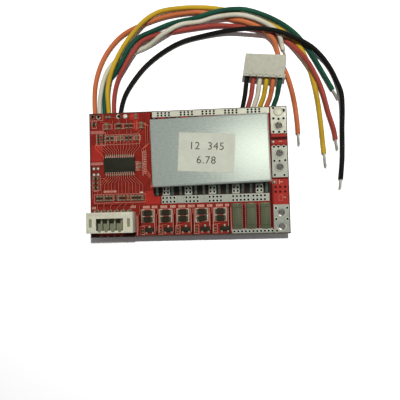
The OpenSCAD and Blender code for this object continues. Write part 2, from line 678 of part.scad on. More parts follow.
module balance_transistors() {
    color("#24251F") each_sot()
        translate([0, 0, chip_lift])
            moulded(sot_l, sot_w, sot_t, 0.1);
}

module transistor_leads() {
    out = (sot_span - sot_w) / 2;
    h = chip_lift + sot_t / 2 + lead_t / 2;
    color("#B9BDB4") each_sot()
        for (l = [[0, 1], [-0.95, -1], [0.95, -1]])
            translate([l[0], l[1] * sot_w / 2, 0])
                rotate([0, 0, 90 * l[1]])
                    gull(out, h, fine_foot * 0.6, 0.42, lead_t);
}

// ---- Current shunts -------------------------------------------------------
// Each strip is a flat bridge on two feet.
module current_shunts() {
    foot = 0.9;
    ramp = shunt_lift;
    top = shunt_lift + shunt_t;
    color("#7F8478")
        for (i = [0:shunt_count - 1])
            translate([shunt_x + i * shunt_pitch, shunt_y, z_top])
                rotate([90, 0, 90])
                    linear_extrude(shunt_w, center = true)
                        polygon([[0, 0], [foot, 0], [foot + ramp, shunt_lift],
                            [shunt_l - foot - ramp, shunt_lift], [shunt_l - foot, 0],
                            [shunt_l, 0], [shunt_l, shunt_t],
                            [shunt_l - foot + 0.15, shunt_t],
                            [shunt_l - foot + 0.15 - ramp, top],
                            [foot - 0.15 + ramp, top], [foot - 0.15, shunt_t],
                            [0, shunt_t]]);
}

// ---- Small chips ----------------------------------------------------------
module chip_body(c) {
    s = chip_sizes[c[3]];
    m = s[0] * end_metal;
    rotate([0, 0, c[2]])
        translate([-s[0] / 2 + m, -s[1] / 2 + end_step, end_step])
            cube([s[0] - 2 * m, s[1] - 2 * end_step, s[2] - 2 * end_step]);
}

module chip_ends(c) {
    s = chip_sizes[c[3]];
    m = s[0] * end_metal;
    rotate([0, 0, c[2]])
        for (x = [-s[0] / 2, s[0] / 2 - m])
            translate([x, -s[1] / 2, 0])
                cube([m, s[1], s[2]]);
}

module each_chip(kind) {
    for (c = concat(back_chips, row_chips))
        if (kind < 0 || c[4] == kind)
            translate(chip_place(c)) {
                if (kind < 0)
                    chip_ends(c);
                else
                    chip_body(c);
            }
    for (i = [0:bal_count - 1])
        if (kind < 0 || side_chip[4] == kind)
            translate(side_place(i)) {
                if (kind < 0)
                    chip_ends(side_chip);
                else
                    chip_body(side_chip);
            }
}

module chip_resistors() {
    color("#24251F") each_chip(0);
}

module chip_capacitors() {
    color("#9A7350") each_chip(1);
}

module chip_terminals() {
    color("#B9BDB4") each_chip(-1);
}

// ---- Balance header -------------------------------------------------------
module header_housing() {
    color("#D5D6C4") translate([header_x, header_y, z_top])
        difference() {
            translate([-header_w / 2, 0, 0])
                cube([header_w, header_d, header_h]);
            translate([-mouth_w / 2, -e, header_skin])
                cube([mouth_w, mouth_d + e, mouth_h]);
            // Window in the roof, its front edge scalloped over each pin.
            translate([-window_w / 2, lip, header_h - header_skin - e])
                cube([window_w, window_d, header_skin + 2 * e]);
            for (i = [1:ways - 2])
                translate([way_x(i), lip, header_h - header_skin - e])
                    cylinder(h = header_skin + 2 * e, r = pitch * 0.27);
            // Keying notches beside the window.
            for (s = [-1, 1])
                translate([s * (mouth_w / 2 - notch_w / 2 - 0.05) - notch_w / 2,
                    lip + 1, header_h - header_skin - e])
                    cube([notch_w, notch_l, header_skin + 2 * e]);
            // Passages of the pins through the back wall.
            for (i = [0:ways - 1])
                translate([way_x(i) - pin_w / 2, mouth_d - e, mouth_mid - pin_w / 2])
                    cube([pin_w, header_back + 2 * e, pin_w]);
            // Bevel along the back of the roof.
            translate([0, header_d, header_h])
                rotate([45, 0, 0])
                    cube([header_w + 2, 0.5, 0.5], center = true);
        }
}

// Each pin comes out of the back wall and bends down through the board.
module header_pins() {
    z = z_top + mouth_mid;
    color("#C3C7BE")
        for (i = [0:ways - 1])
            translate([header_x + way_x(i), header_y, 0])
                rotate([90, 0, 90])
                    linear_extrude(pin_w, center = true)
                        polygon([
                            [pin_y - pin_w / 2 + pin_point, 0],
                            [pin_y + pin_w / 2 - pin_point, 0],
                            [pin_y + pin_w / 2, pin_point * 2],
                            [pin_y + pin_w / 2, z + pin_w / 2 - pin_bend],
                            [pin_y + pin_w / 2 - pin_bend, z + pin_w / 2],
                            [pin_inset + pin_point * 2, z + pin_w / 2],
                            [pin_inset, z + pin_w / 2 - pin_point],
                            [pin_inset, z - pin_w / 2 + pin_point],
                            [pin_inset + pin_point * 2, z - pin_w / 2],
                            [pin_y - pin_w / 2, z - pin_w / 2],
                            [pin_y - pin_w / 2, pin_point * 2]]);
}

// Solder that fills each plated hole and stands as a cone under the board.
module header_solder() {
    cone_h = 0.9;
    color("#B9BDB4")
        for (i = [0:ways - 1])
            translate([header_x + way_x(i), header_y + pin_y, z_under])
                difference() {
                    union() {
                        cylinder(h = board_t, r = pin_hole_r);
                        translate([0, 0, -cone_h])
                            cylinder(h = cone_h, r1 = pin_hole_r * 0.9,
                                r2 = pin_hole_r + 0.45);
                    }
                    cube([pin_w, pin_w, 4 * board_t + 4 * cone_h], center = true);
                }
}

// ---- Balance plug ---------------------------------------------------------
// Plug's own frame: nose at +Y, wires at -Y, standing on z = 0.
module at_plug() {
    translate([plug_at[0], plug_at[1], plug_w / 2 * sin(plug_tilt)])
        rotate([0, 0, plug_turn])
            rotate([0, -plug_tilt, 0])
                children();
}

module plug_housing() {
    rib = 0.5;
    color("#C4C5B8") at_plug()
        difference() {
            union() {
                translate([-plug_w / 2, -plug_l / 2, 0])
                    cube([plug_w, plug_l, plug_h]);
                // Hood over the wires.
                translate([-plug_w / 2, -plug_l / 2 - hood_l, plug_h - hood_t])
                    cube([plug_w, hood_l, hood_t]);
                // Feet that stop against the header's mouth.
                for (s = [-1, 1])
                    translate([s * plug_w / 2 - (s < 0 ? ear : 0), -plug_l / 2, 0])
                        cube([ear, 1.2, plug_h * 0.45]);
                // Two guide ribs along the roof.
                for (x = [-plug_w * 0.27, plug_w * 0.25])
                    translate([x - rib / 2, -plug_l / 2 + 0.5, plug_h])
                        cube([rib, plug_l - 1, plug_clear * 0.8]);
            }
            for (i = [0:ways - 1]) {
                // Chamber, pin entry and locking window of each contact.
                translate([way_x(i) - cell / 2, -plug_l / 2 - e, plug_h / 2 - cell / 2])
                    cube([cell, plug_l - plug_nose + e, cell]);
                translate([way_x(i) - pin_w, plug_l / 2 - plug_nose - e,
                    plug_h / 2 - pin_w])
                    cube([2 * pin_w, plug_nose + 2 * e, 2 * pin_w]);
                translate([way_x(i) - cell * 0.35, plug_l / 2 - plug_nose - 2.6, -e])
                    cube([cell * 0.7, 1.3, plug_h / 2]);
                // Scallop of the hood round each wire.
                translate([way_x(i), -plug_l / 2 - hood_l, plug_h - hood_t - e])
                    cylinder(h = hood_t + 2 * e, r = cell * 0.45);
            }
        }
}

// A crimped contact: square spring box in front, round barrel at the wire.
module plug_contacts() {
    c = cell - 2 * cell_clear;
    box_l = (plug_l - plug_nose) * 0.6;
    color("#B5A46A") at_plug()
        for (i = [0:ways - 1])
            translate([way_x(i), plug_l / 2 - plug_nose, plug_h / 2])
                difference() {
                    union() {
                        translate([-c / 2, -box_l, -c / 2])
                            cube([c, box_l, c]);
                        translate([0, -box_l, 0])
                            rotate([90, 0, 0])
                                cylinder(h = plug_l - plug_nose - box_l, r = c / 2);
                    }
                    translate([-pin_w / 2 - 0.05, -box_l + 0.4, -pin_w / 2 - 0.05])
                        cube([pin_w + 0.1, box_l, pin_w + 0.1]);
                }
}

// ---- Wires ----------------------------------------------------------------
module wire_black() {
    color("#1E1F1A") wire(0);
}

module wire_red() {
    color("#98463F") wire(1);
}

module wire_white() {
    color("#C9C2A9") wire(2);
}

module wire_yellow() {
    color("#BFA53C") wire(3);
}

module wire_orange() {
    color("#B06945") wire(4);
}

module wire_green() {
    color("#1A3F35") wire(5);
}

// Bare strands, tinned together and rounded at the end.
module wire_tips() {
    color("#B9BDB4")
        for (i = [0:len(routes) - 1]) {
            c = smooth(whole_route(i));
            h = heading(c, len(c) - 1);
            translate(c[len(c) - 1])
                rotate([0, 0, atan2(h[1], h[0])])
                    rotate([0, acos(h[2]), 0]) {
                        cylinder(h = bare_l[i] - strand_d / 2, r = strand_d / 2);
                        translate([0, 0, bare_l[i] - strand_d / 2])
                            sphere(r = strand_d / 2);
                    }
        }
}

pcb();
terminal_pads();
terminal_solder();
bus_pads();
underside_copper();
small_lands();
mosfet_bodies();
mosfet_tabs();
mosfet_leads();
thermal_sheet();
heatsink();
rating_label();
controller_chip();
controller_leads();
balance_resistors();
balance_terminals();
balance_transistors();
transistor_leads();
current_shunts();
chip_resistors();
chip_capacitors();
chip_terminals();
header_housing();
header_pins();
header_solder();
plug_housing();
plug_contacts();
wire_black();
wire_red();
wire_white();
wire_yellow();
wire_orange();
wire_green();
wire_tips();
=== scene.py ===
"""Battery management board with its loose balance lead, dressed and lit.

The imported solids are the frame. This script gives every solid its finish, and
adds what the solids leave out: tracks, printed lines, bare lands, plated vias,
solder, the numbers on the label, the soft wires and their twisted strands.
All places are worked out from the frame, in metres, with +Z up.
"""

from __future__ import annotations

import logging
import math
from dataclasses import dataclass
from enum import Enum

import bpy
import numpy as np
from mathutils import Euler, Matrix, Vector


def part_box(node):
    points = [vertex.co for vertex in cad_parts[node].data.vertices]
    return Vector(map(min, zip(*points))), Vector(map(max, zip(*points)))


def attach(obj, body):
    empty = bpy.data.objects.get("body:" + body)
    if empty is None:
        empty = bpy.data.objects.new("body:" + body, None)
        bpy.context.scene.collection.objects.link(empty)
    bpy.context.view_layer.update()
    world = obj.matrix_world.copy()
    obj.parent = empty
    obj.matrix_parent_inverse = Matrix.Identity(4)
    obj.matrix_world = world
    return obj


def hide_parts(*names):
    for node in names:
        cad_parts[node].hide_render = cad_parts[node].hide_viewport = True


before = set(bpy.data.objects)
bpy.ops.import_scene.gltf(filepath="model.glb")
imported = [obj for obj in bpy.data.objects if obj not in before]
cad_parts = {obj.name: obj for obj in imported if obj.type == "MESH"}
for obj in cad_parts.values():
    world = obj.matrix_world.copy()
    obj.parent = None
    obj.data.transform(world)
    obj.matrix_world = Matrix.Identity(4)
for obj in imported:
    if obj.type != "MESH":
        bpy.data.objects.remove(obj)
NODES: dict[str, bpy.types.Object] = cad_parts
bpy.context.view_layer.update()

LOG = logging.getLogger("balance_board")
MM = 0.001
ROOT = "root"


# ---- Colour and shader helpers ------------------------------------------------
def linear(code: str) -> tuple[float, float, float, float]:
    """Turn an sRGB hex colour into a linear RGBA colour.

    Args:
        code: Colour such as "#A0B0C0".

    Returns:
        Linear red, green, blue and an alpha of one.
    """
    parts = [int(code[i : i + 2], 16) / 255 for i in (1, 3, 5)]
    lin = [c / 12.92 if c <= 0.04045 else ((c + 0.055) / 1.055) ** 2.4 for c in parts]
    return (lin[0], lin[1], lin[2], 1.0)


def add_node(
    tree: bpy.types.NodeTree,
    kind: str,
    settings: dict[str, object] | None = None,
    inputs: dict[str | int, object] | None = None,
) -> bpy.types.Node:
    """Add one shader node with its settings, values and links.

    Args:
        tree: Node tree that receives the node.
        kind: Node type name.
        settings: Properties of the node itself.
        inputs: Values by socket name or index; a socket as value makes a link.

    Returns:
        The new node.
    """
    node = tree.nodes.new(kind)
    for key, value in (settings or {}).items():
        setattr(node, key, value)
    for key, value in (inputs or {}).items():
        socket = node.inputs[key]
        if isinstance(value, bpy.types.NodeSocket):
            tree.links.new(value, socket)
        else:
            socket.default_value = value
    return node


def ramp(
    tree: bpy.types.NodeTree,
    fac: bpy.types.NodeSocket,
    stops: list[tuple[float, str]],
) -> bpy.types.NodeSocket:
    """Add a colour ramp and return its colour socket.

    Args:
        tree: Node tree that receives the ramp.
        fac: Socket that drives it.
        stops: Position and hex colour of each stop, at least two.

    Returns:
        The ramp's colour output.
    """
    node = add_node(tree, "ShaderNodeValToRGB", inputs={"Fac": fac})
    elements = node.color_ramp.elements
    while len(elements) < len(stops):
        elements.new(0.5)
    for element, (position, code) in zip(elements, stops):
        element.position = position
        element.color = linear(code)
    return node.outputs["Color"]


# ---- Finishes -------------------------------------------------------------------
@dataclass(frozen=True)
class Finish:
    """A surface finish whose colour and gloss drift with a fine pattern.

    grain_mm is the size of the pattern, stretch its proportions along x, y and z,
    and relief_mm how far the surface seems to rise and fall.
    """

    name: str
    light: str
    dark: str
    metallic: float = 0.0
    roughness: float = 0.5
    spread: float = 0.08
    grain_mm: float = 1.0
    stretch: tuple[float, float, float] = (1.0, 1.0, 1.0)
    relief_mm: float = 0.01
    relief: float = 0.2
    specular: float = 0.5
    subsurface: float = 0.0
    contrast: float = 0.5

    def grain(self, tree: bpy.types.NodeTree) -> bpy.types.NodeSocket:
        """Return the socket of the pattern that drives colour, gloss and relief."""
        place = add_node(tree, "ShaderNodeTexCoord")
        turned = add_node(
            tree,
            "ShaderNodeMapping",
            inputs={"Vector": place.outputs["Object"], "Scale": self.stretch},
        )
        noise = add_node(
            tree,
            "ShaderNodeTexNoise",
            inputs={
                "Vector": turned.outputs["Vector"],
                "Scale": 1.0 / (self.grain_mm * MM),
                "Detail": 4.0,
                "Roughness": 0.6,
            },
        )
        return noise.outputs["Fac"]

    def colour(self, tree: bpy.types.NodeTree, grain: bpy.types.NodeSocket) -> bpy.types.NodeSocket:
        """Return the socket of the base colour."""
        half = 0.5 * (1 - self.contrast) * 0.8
        return ramp(tree, grain, [(0.1 + half, self.dark), (0.9 - half, self.light)])

    def build(self) -> bpy.types.Material:
        """Build the material.

        Returns:
            A node material that carries this finish's name.
        """
        made = bpy.data.materials.new(self.name)
        made.use_nodes = True
        tree = made.node_tree
        tree.nodes.clear()
        grain = self.grain(tree)
        rough = add_node(
            tree,
            "ShaderNodeMapRange",
            inputs={
                "Value": grain,
                "From Min": 0.3,
                "From Max": 0.7,
                "To Min": max(0.02, self.roughness - self.spread),
                "To Max": min(1.0, self.roughness + self.spread),
            },
        )
        bump = add_node(
            tree,
            "ShaderNodeBump",
            inputs={"Height": grain, "Distance": self.relief_mm * MM, "Strength": self.relief},
        )
        shader = add_node(
            tree,
            "ShaderNodeBsdfPrincipled",
            inputs={
                "Base Color": self.colour(tree, grain),
                "Metallic": self.metallic,
                "Roughness": rough.outputs["Result"],
                "Specular IOR Level": self.specular,
                "Normal": bump.outputs["Normal"],
                "Subsurface Weight": self.subsurface,
                "Subsurface Scale": 0.6 * MM,
            },
        )
        out = add_node(tree, "ShaderNodeOutputMaterial", inputs={"Surface": shader.outputs["BSDF"]})
        out.is_active_output = True
        return made


@dataclass(frozen=True)
class SolderMask(Finish):
    """Liquid photo-imaged mask on glass-fibre laminate.

    It is a glossy lacquer that deepens over bare laminate, and the board's sawn
    edge shows the tan fibre.
    """

    edge: str = "#54403A"

    def colour(self, tree: bpy.types.NodeTree, grain: bpy.types.NodeSocket) -> bpy.types.NodeSocket:
        """Return mask colour on the faces and fibre colour on the sawn edge."""
        face = super().colour(tree, grain)
        normal = add_node(tree, "ShaderNodeNewGeometry")
        split = add_node(tree, "ShaderNodeSeparateXYZ", inputs={"Vector": normal.outputs["Normal"]})
        up = add_node(tree, "ShaderNodeMath", {"operation": "ABSOLUTE"}, {0: split.outputs["Z"]})
        flat = add_node(
            tree,
            "ShaderNodeMath",
            {"operation": "GREATER_THAN"},
            {0: up.outputs["Value"], 1: 0.5},
        )
        mixed = add_node(
            tree,
            "ShaderNodeMix",
            {"data_type": "RGBA"},
            {"Factor": flat.outputs["Value"], 6: linear(self.edge), 7: face},
        )
        return mixed.outputs[2]


@dataclass(frozen=True)
class Levelled(Finish):
    """Hot-air-levelled solder with painted light: paler towards the board's back as a painted
    reflection, greyer towards its front.
    """

    pale: str = "#DDDCC7"
    painted_dimming: str = "#8B9289"

    def colour(self, tree: bpy.types.NodeTree, grain: bpy.types.NodeSocket) -> bpy.types.NodeSocket:
        """Return a colour that drifts from the front of the board to its back."""
        face = super().colour(tree, grain)
        place = add_node(tree, "ShaderNodeTexCoord")
        depth = add_node(tree, "ShaderNodeSeparateXYZ", inputs={0: place.outputs["Object"]})
        # Where each drift starts and is complete along the board's depth, in metres.
        # The pale back is a painted reflection of the lamp; the grey front is painted dimming where
        # that reflection is missing.
        layers = ((self.painted_dimming, -0.006, -0.016), (self.pale, 0.004, 0.017))
        for code, start, end in layers:
            share = add_node(tree, "ShaderNodeMapRange", inputs={
                "Value": depth.outputs["Y"], "From Min": start, "From Max": end,
                "To Min": 0.0, "To Max": 0.8})
            face = add_node(tree, "ShaderNodeMix", {"data_type": "RGBA"}, {
                "Factor": share.outputs["Result"], 6: face, 7: linear(code)}).outputs[2]
        return face


@dataclass(frozen=True)
class Insulation(Finish):
    """Soft silicone or vinyl insulation: satin, with handling marks along it."""

    def colour(self, tree: bpy.types.NodeTree, grain: bpy.types.NodeSocket) -> bpy.types.NodeSocket:
        """Return a colour that dulls in long patches."""
        place = add_node(tree, "ShaderNodeTexCoord")
        patches = add_node(
            tree,
            "ShaderNodeTexNoise",
            inputs={"Vector": place.outputs["Object"], "Scale": 1.0 / (9.0 * MM), "Detail": 2.0},
        )
        return ramp(tree, patches.outputs["Fac"], [(0.3, self.dark), (0.65, self.light)])


class Finishes:
    """Every finish of the board, built once and kept by name."""

    ALL = (
        # Glossy red mask over copper and laminate.
        SolderMask("red_solder_mask", "#86261D", "#6E1D16", roughness=0.42, specular=0.15,
                   grain_mm=2.4, relief_mm=0.02, relief=0.25),
        # Copper tracks under the mask look brighter than the laminate.
        Finish("masked_track", "#BE5845", "#A84A3A", roughness=0.4, specular=0.2,
               grain_mm=1.2, relief_mm=0.01),
        # The same over broad pours, which look a shade deeper.
        Finish("masked_pour", "#A62F26", "#8F261E", roughness=0.42, specular=0.18,
               grain_mm=2.0, relief_mm=0.01),
        # Etched gaps between copper areas look deeper. The same dark red is laid as painted shade
        # in front of the header and under the plate's front edge.
        Finish("masked_gap_and_painted_shade", "#470C08", "#360806", roughness=0.45, specular=0.1, grain_mm=1.0),
        # Scored and snapped edge of the glass-fibre laminate.
        Finish("scored_laminate", "#57423A", "#3D2B25", roughness=0.8, specular=0.1,
               grain_mm=0.3, relief_mm=0.03, relief=0.5),
        # Hot-air-levelled solder: greyish green, dull, in shallow waves, with a painted reflection
        # towards the back.
        Levelled("levelled_solder", "#B6BAAC", "#9BA093", metallic=0.5,
               roughness=0.45, spread=0.14, grain_mm=0.9, stretch=(1, 0.6, 1),
               relief_mm=0.05, relief=0.5),
        # The same where it stayed thick and pale.
        Finish("pooled_solder", "#D6D4BF", "#BDBBA6", metallic=0.4,
               roughness=0.4, spread=0.14, grain_mm=0.7, relief_mm=0.05, relief=0.6),
        # Solder that crept up round the small plated holes.
        Finish("hole_rim_solder", "#D2D6C6", "#B6BAAA", metallic=0.4,
               roughness=0.4, spread=0.1, grain_mm=0.4, relief_mm=0.02),
        # Fresh solder joints: bright and rounded.
        Finish("bright_solder", "#F3ECE0", "#D6CFC2", metallic=0.5,
               roughness=0.24, spread=0.1, grain_mm=0.5, relief_mm=0.03,
               relief=0.4),
        # Oven-reflowed joints of the small parts: dull and yellowish.
        Finish("reflowed_solder", "#958B73", "#70664F", metallic=0.4,
               roughness=0.4, spread=0.12, grain_mm=0.4, relief_mm=0.03,
               relief=0.4),
        # Bare lands round the small chips: flux-stained.
        Finish("stained_land", "#6C5843", "#4C3B2B", metallic=0.2,
               roughness=0.45, spread=0.1, grain_mm=0.6, relief_mm=0.02),
        # Almost-black slabs over the joints of the power legs.
        Finish("black_leg_coat", "#1E1E16", "#12120D", roughness=0.35, specular=0.15,
               grain_mm=0.6, relief_mm=0.02),
        # Plated hole seen from above.
        Finish("hole_shadow", "#12110D", "#0A0A07", roughness=0.7, specular=0.1, grain_mm=0.5),
        # Transfer-moulded epoxy: matt, slightly grey.
        Finish("moulded_epoxy", "#2A2A1F", "#1E1E15", roughness=0.55, specular=0.2,
               grain_mm=0.35, relief_mm=0.01, relief=0.3),
        # Tin-plated copper leads.
        Finish("tinned_lead", "#E6DAC2", "#C2B69F", metallic=0.5,
               roughness=0.34, spread=0.1, grain_mm=0.5, relief_mm=0.01),
        # Heavy legs with flux baked on them.
        Finish("fluxed_leg", "#6F7A6E", "#485148", metallic=0.5,
               roughness=0.4, spread=0.1, grain_mm=0.6, relief_mm=0.02),
        # Filled silicone bonding sheet.
        Finish("bonding_sheet", "#C4C2B8", "#A9A79D", roughness=0.8, grain_mm=0.4, relief_mm=0.02),
        # Mill-finished plate, rubbed along its length.
        Finish("rubbed_aluminium", "#CAD5CB", "#B9C4BA", metallic=0.9,
               roughness=0.36, spread=0.06, grain_mm=0.3,
               stretch=(0.3, 1, 1), relief_mm=0.01, relief=0.3, contrast=0.3),
        # Satin label film.
        Finish("label_film", "#C4C6B6", "#B9BBAA", roughness=0.45, spread=0.04,
               specular=0.3, grain_mm=3.0, relief_mm=0.01, relief=0.1),
        # Thermal print.
        Finish("label_print", "#4D4A42", "#3A372F", roughness=0.6, grain_mm=0.2),
        # Screen-printed ink.
        Finish("printed_ink", "#D2A593", "#B58672", roughness=0.6, specular=0.2, grain_mm=0.3),
        # Thin, worn print.
        Finish("thin_ink", "#B8766A", "#9A5A50", roughness=0.6, specular=0.2, grain_mm=0.3),
        # Rolled resistance alloy, dull green-grey, with fine rolling lines.
        Finish("rolled_alloy", "#62684F", "#4F5540", metallic=0.4,
               roughness=0.55, spread=0.07, grain_mm=0.7, stretch=(2.2, 0.1, 1),
               relief_mm=0.01, relief=0.3),
        # Glazed resistor body.
        Finish("resistor_glaze", "#2E2A1E", "#1D1A12", roughness=0.4, specular=0.15,
               grain_mm=0.4, relief_mm=0.01),
        # Metal ends of the channel resistors, brown with flux.
        Finish("baked_end", "#5C523C", "#3F3727", metallic=0.3, roughness=0.45,
               specular=0.2, grain_mm=0.4, relief_mm=0.02),
        # Sintered capacitor body.
        Finish("sintered_ceramic", "#7C614A", "#5C4634", roughness=0.55, specular=0.3,
               grain_mm=0.3, relief_mm=0.01),
        # Unfilled ivory nylon, a little translucent.
        Finish("ivory_nylon", "#CFCDB9", "#C2C0AB", roughness=0.42, spread=0.05,
               specular=0.3, grain_mm=1.4, relief_mm=0.01, subsurface=0.4),
        # The same nylon, darkened as painted shade inside the housing and on the webs in the keying
        # notches.
        Finish("painted_shade_nylon", "#85886F", "#74775F", roughness=0.6, specular=0.1,
               grain_mm=0.8, relief_mm=0.01),
        # Painted highlight on the plate's rounded edges, lighter than the plate.
        Finish("painted_edge_highlight", "#EFF0E6", "#D9DACF", metallic=0.5, roughness=0.3,
               grain_mm=0.4, relief_mm=0.01),
        # Off-white nylon of the plug.
        Finish("grey_nylon", "#BBBAA9", "#ADAC9B", roughness=0.42, spread=0.05,
               specular=0.3, grain_mm=1.4, relief_mm=0.01, subsurface=0.3),
        # Tin-flashed phosphor bronze.
        Finish("contact_bronze", "#C4B68A", "#A3925F", metallic=0.9, roughness=0.32, grain_mm=0.4),
        # Header pins: tin that has dulled.
        Finish("dull_pin", "#A5A68C", "#85866C", metallic=0.5, roughness=0.42, grain_mm=0.4),
        # Tinned strands.
        Finish("tinned_strands", "#DAD9D0", "#A5A49B", metallic=0.6,
               roughness=0.33, grain_mm=0.2, relief_mm=0.01),
        # Wire insulation, one colour each.
        *(Insulation(f"insulation_{wire}", light, dark, roughness=rough, grain_mm=0.5,
                     relief_mm=0.01, specular=shine, subsurface=soft)
          for wire, light, dark, rough, shine, soft in (
              ("black", "#181815", "#0E0E0C", 0.45, 0.1, 0.0),
              ("red", "#A5473D", "#8A382F", 0.45, 0.25, 0.0),
              ("white", "#CFCCBA", "#BDB9A5", 0.45, 0.25, 0.1),
              ("yellow", "#C8A52B", "#AF8C1F", 0.42, 0.25, 0.0),
              ("orange", "#C87246", "#AD5B34", 0.42, 0.25, 0.0),
              ("green", "#1A4F3D", "#10392B", 0.42, 0.2, 0.0))),
    )

    def __init__(self) -> None:
        """Build every finish's material."""
        self.made = {f.name: f.build() for f in self.ALL}

    def dress(self, obj: bpy.types.Object, name: str) -> bpy.types.Object:
        """Give an object one finish and return it."""
        obj.data.materials.clear()
        obj.data.materials.append(self.made[name])
        return obj

    def coat(self, obj: bpy.types.Object, name: str, slot: str) -> bpy.types.Object:
        """Give a new piece its finish and return it finished."""
        return finished(self.dress(obj, name))

    def second(self, obj: bpy.types.Object, faces: list[int], name: str) -> None:
        """Give some of an object's faces a second finish."""
        obj.data.materials.append(self.made[name])
        for index in faces:
            obj.data.polygons[index].material_index = 1


# ---- Modelling helpers ------------------------------------------------------------
def deselect() -> None:
    """Deselect everything, so that an operator acts on new work only."""
    for obj in list(bpy.context.selected_objects):
        obj.select_set(False)


def only(obj: bpy.types.Object) -> bpy.types.Object:
    """Select one object, make it active and return it."""
    deselect()
    obj.select_set(True)
    bpy.context.view_layer.objects.active = obj
    return obj


def settle(obj: bpy.types.Object, name: str) -> bpy.types.Object:
    """Name an object and move its place, turn and size into its mesh."""
    obj.name = name
    obj.data.name = name
    only(obj)
    bpy.ops.object.transform_apply(location=True, rotation=True, scale=True)
    return obj


def joined(made: list[bpy.types.Object], name: str) -> bpy.types.Object:
    """Turn curves into meshes and join them as one settled piece.

    Args:
        made: The curves.
        name: Name of the piece.

    Returns:
        The piece.
    """
    only(made[0])
    for obj in made:
        obj.select_set(True)
    bpy.ops.object.convert(target="MESH")
    bpy.ops.object.join()
    return settle(bpy.context.object, name)


def finished(obj: bpy.types.Object, angle: float = 40.0) -> bpy.types.Object:
    """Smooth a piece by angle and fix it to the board's body."""
    only(obj)
    bpy.ops.object.shade_smooth_by_angle(angle=math.radians(angle))
    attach(obj, ROOT)
    LOG.info("piece %s: %d faces", obj.name, len(obj.data.polygons))
    return obj


@dataclass
class Placing:
    """Where one copy of a shape goes: centre, size along each axis, and turn."""

    at: tuple[float, float, float]
    size: tuple[float, float, float]
    turn: float = 0.0

    def matrix(self) -> Matrix:
        """Return the transform of the copy."""
        return Matrix.LocRotScale(Vector(self.at), Euler((0, 0, self.turn)), Vector(self.size))


def scatter(shape: bpy.types.Object, placings: list[Placing], name: str) -> bpy.types.Object:
    """Copy a unit shape to every placing and join the copies.

    Args:
        shape: The modelled shape, which is used up.
        placings: Where the copies go.
        name: Name of the joined piece.

    Returns:
        The joined piece, at the origin.
    """
    copies = []
    for placing in placings:
        copy = shape.copy()
        copy.data = shape.data.copy()
        bpy.context.scene.collection.objects.link(copy)
        copy.data.transform(placing.matrix())
        copies.append(copy)
    bpy.data.objects.remove(shape)
    only(copies[0])
    for copy in copies:
        copy.select_set(True)
    bpy.ops.object.join()
    return settle(copies[0], name)


def dome_shape(segments: int = 12) -> bpy.types.Object:
    """Model a unit dome with a flat underside at z = 0."""
    deselect()
    bpy.ops.mesh.primitive_uv_sphere_add(
        segments=segments, ring_count=max(6, segments // 2), radius=1
    )
    shape = bpy.context.object
    bpy.ops.object.mode_set(mode="EDIT")
    bpy.ops.mesh.select_all(action="SELECT")
    bpy.ops.mesh.bisect(plane_co=(0, 0, 0), plane_no=(0, 0, 1), clear_inner=True, use_fill=True)
    bpy.ops.object.mode_set(mode="OBJECT")
    return shape


def slab_shape(bevel: float = 0.12) -> bpy.types.Object:
    """Model a unit slab, 1 by 1 by 1, with its upright edges bevelled."""
    deselect()
    bpy.ops.mesh.primitive_cube_add(size=1)
    shape = bpy.context.object
    for edge in shape.data.edges:
        a, b = (shape.data.vertices[i].co for i in edge.vertices)
        edge.select = abs(a.z - b.z) > 0.5
    for face in shape.data.polygons:
        face.select = False
    bpy.ops.object.mode_set(mode="EDIT")
    bpy.ops.mesh.select_mode(type="EDGE")
    bpy.ops.mesh.bevel(offset=bevel, segments=2)
    bpy.ops.object.mode_set(mode="OBJECT")
    return shape


def rim_shape(thickness: float, around: int, across: int) -> bpy.types.Object:
    """Model a unit ring of the given thickness, lying flat."""
    deselect()
    bpy.ops.mesh.primitive_torus_add(
        major_radius=1, minor_radius=thickness, major_segments=around, minor_segments=across
    )
    return bpy.context.object


def disc_shape(around: int) -> bpy.types.Object:
    """Model a unit disc with a slightly dished top."""
    deselect()
    bpy.ops.mesh.primitive_cylinder_add(vertices=around, radius=1, depth=1)
    shape = bpy.context.object
    for face in shape.data.polygons:
        face.select = face.normal.z > 0.9
    bpy.ops.object.mode_set(mode="EDIT")
    bpy.ops.mesh.inset(thickness=0.2)
    bpy.ops.transform.translate(value=(0, 0, -0.15))
    bpy.ops.object.mode_set(mode="OBJECT")
    return shape


def softened(node: str, name: str, width_mm: float, segments: int = 2,
             edge: int = 0) -> bpy.types.Object:
    """Copy a solid, merge its faces and round its edges.

    Args:
        node: Name of the solid, which the copy replaces.
        name: Name of the new piece.
        width_mm: Width of the rounding.
        segments: Faces across each rounding.
        edge: Material slot of the roundings.

    Returns:
        The rounded piece.
    """
    data = NODES[node].data.copy()
    obj = bpy.data.objects.new(name, data)
    bpy.context.scene.collection.objects.link(obj)
    only(obj)
    bpy.ops.object.mode_set(mode="EDIT")
    bpy.ops.mesh.select_all(action="SELECT")
    bpy.ops.mesh.remove_doubles(threshold=0.002 * MM)
    bpy.ops.mesh.dissolve_limited(angle_limit=math.radians(1))
    bpy.ops.object.mode_set(mode="OBJECT")
    bevel = obj.modifiers.new("rounding", "BEVEL")
    bevel.width = width_mm * MM
    bevel.segments = segments
    bevel.limit_method = "ANGLE"
    bevel.angle_limit = math.radians(35)
    bevel.use_clamp_overlap = True
    bevel.material = edge
    bpy.ops.object.modifier_apply(modifier=bevel.name)
    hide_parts(node)
    return obj


# ---- Places on the board ------------------------------------------------------------
class Face(Enum):
    """Side of the board: upward or downward."""

    TOP = 1
    UNDER = -1


Point = tuple[float, float]
Box = tuple[Vector, Vector]


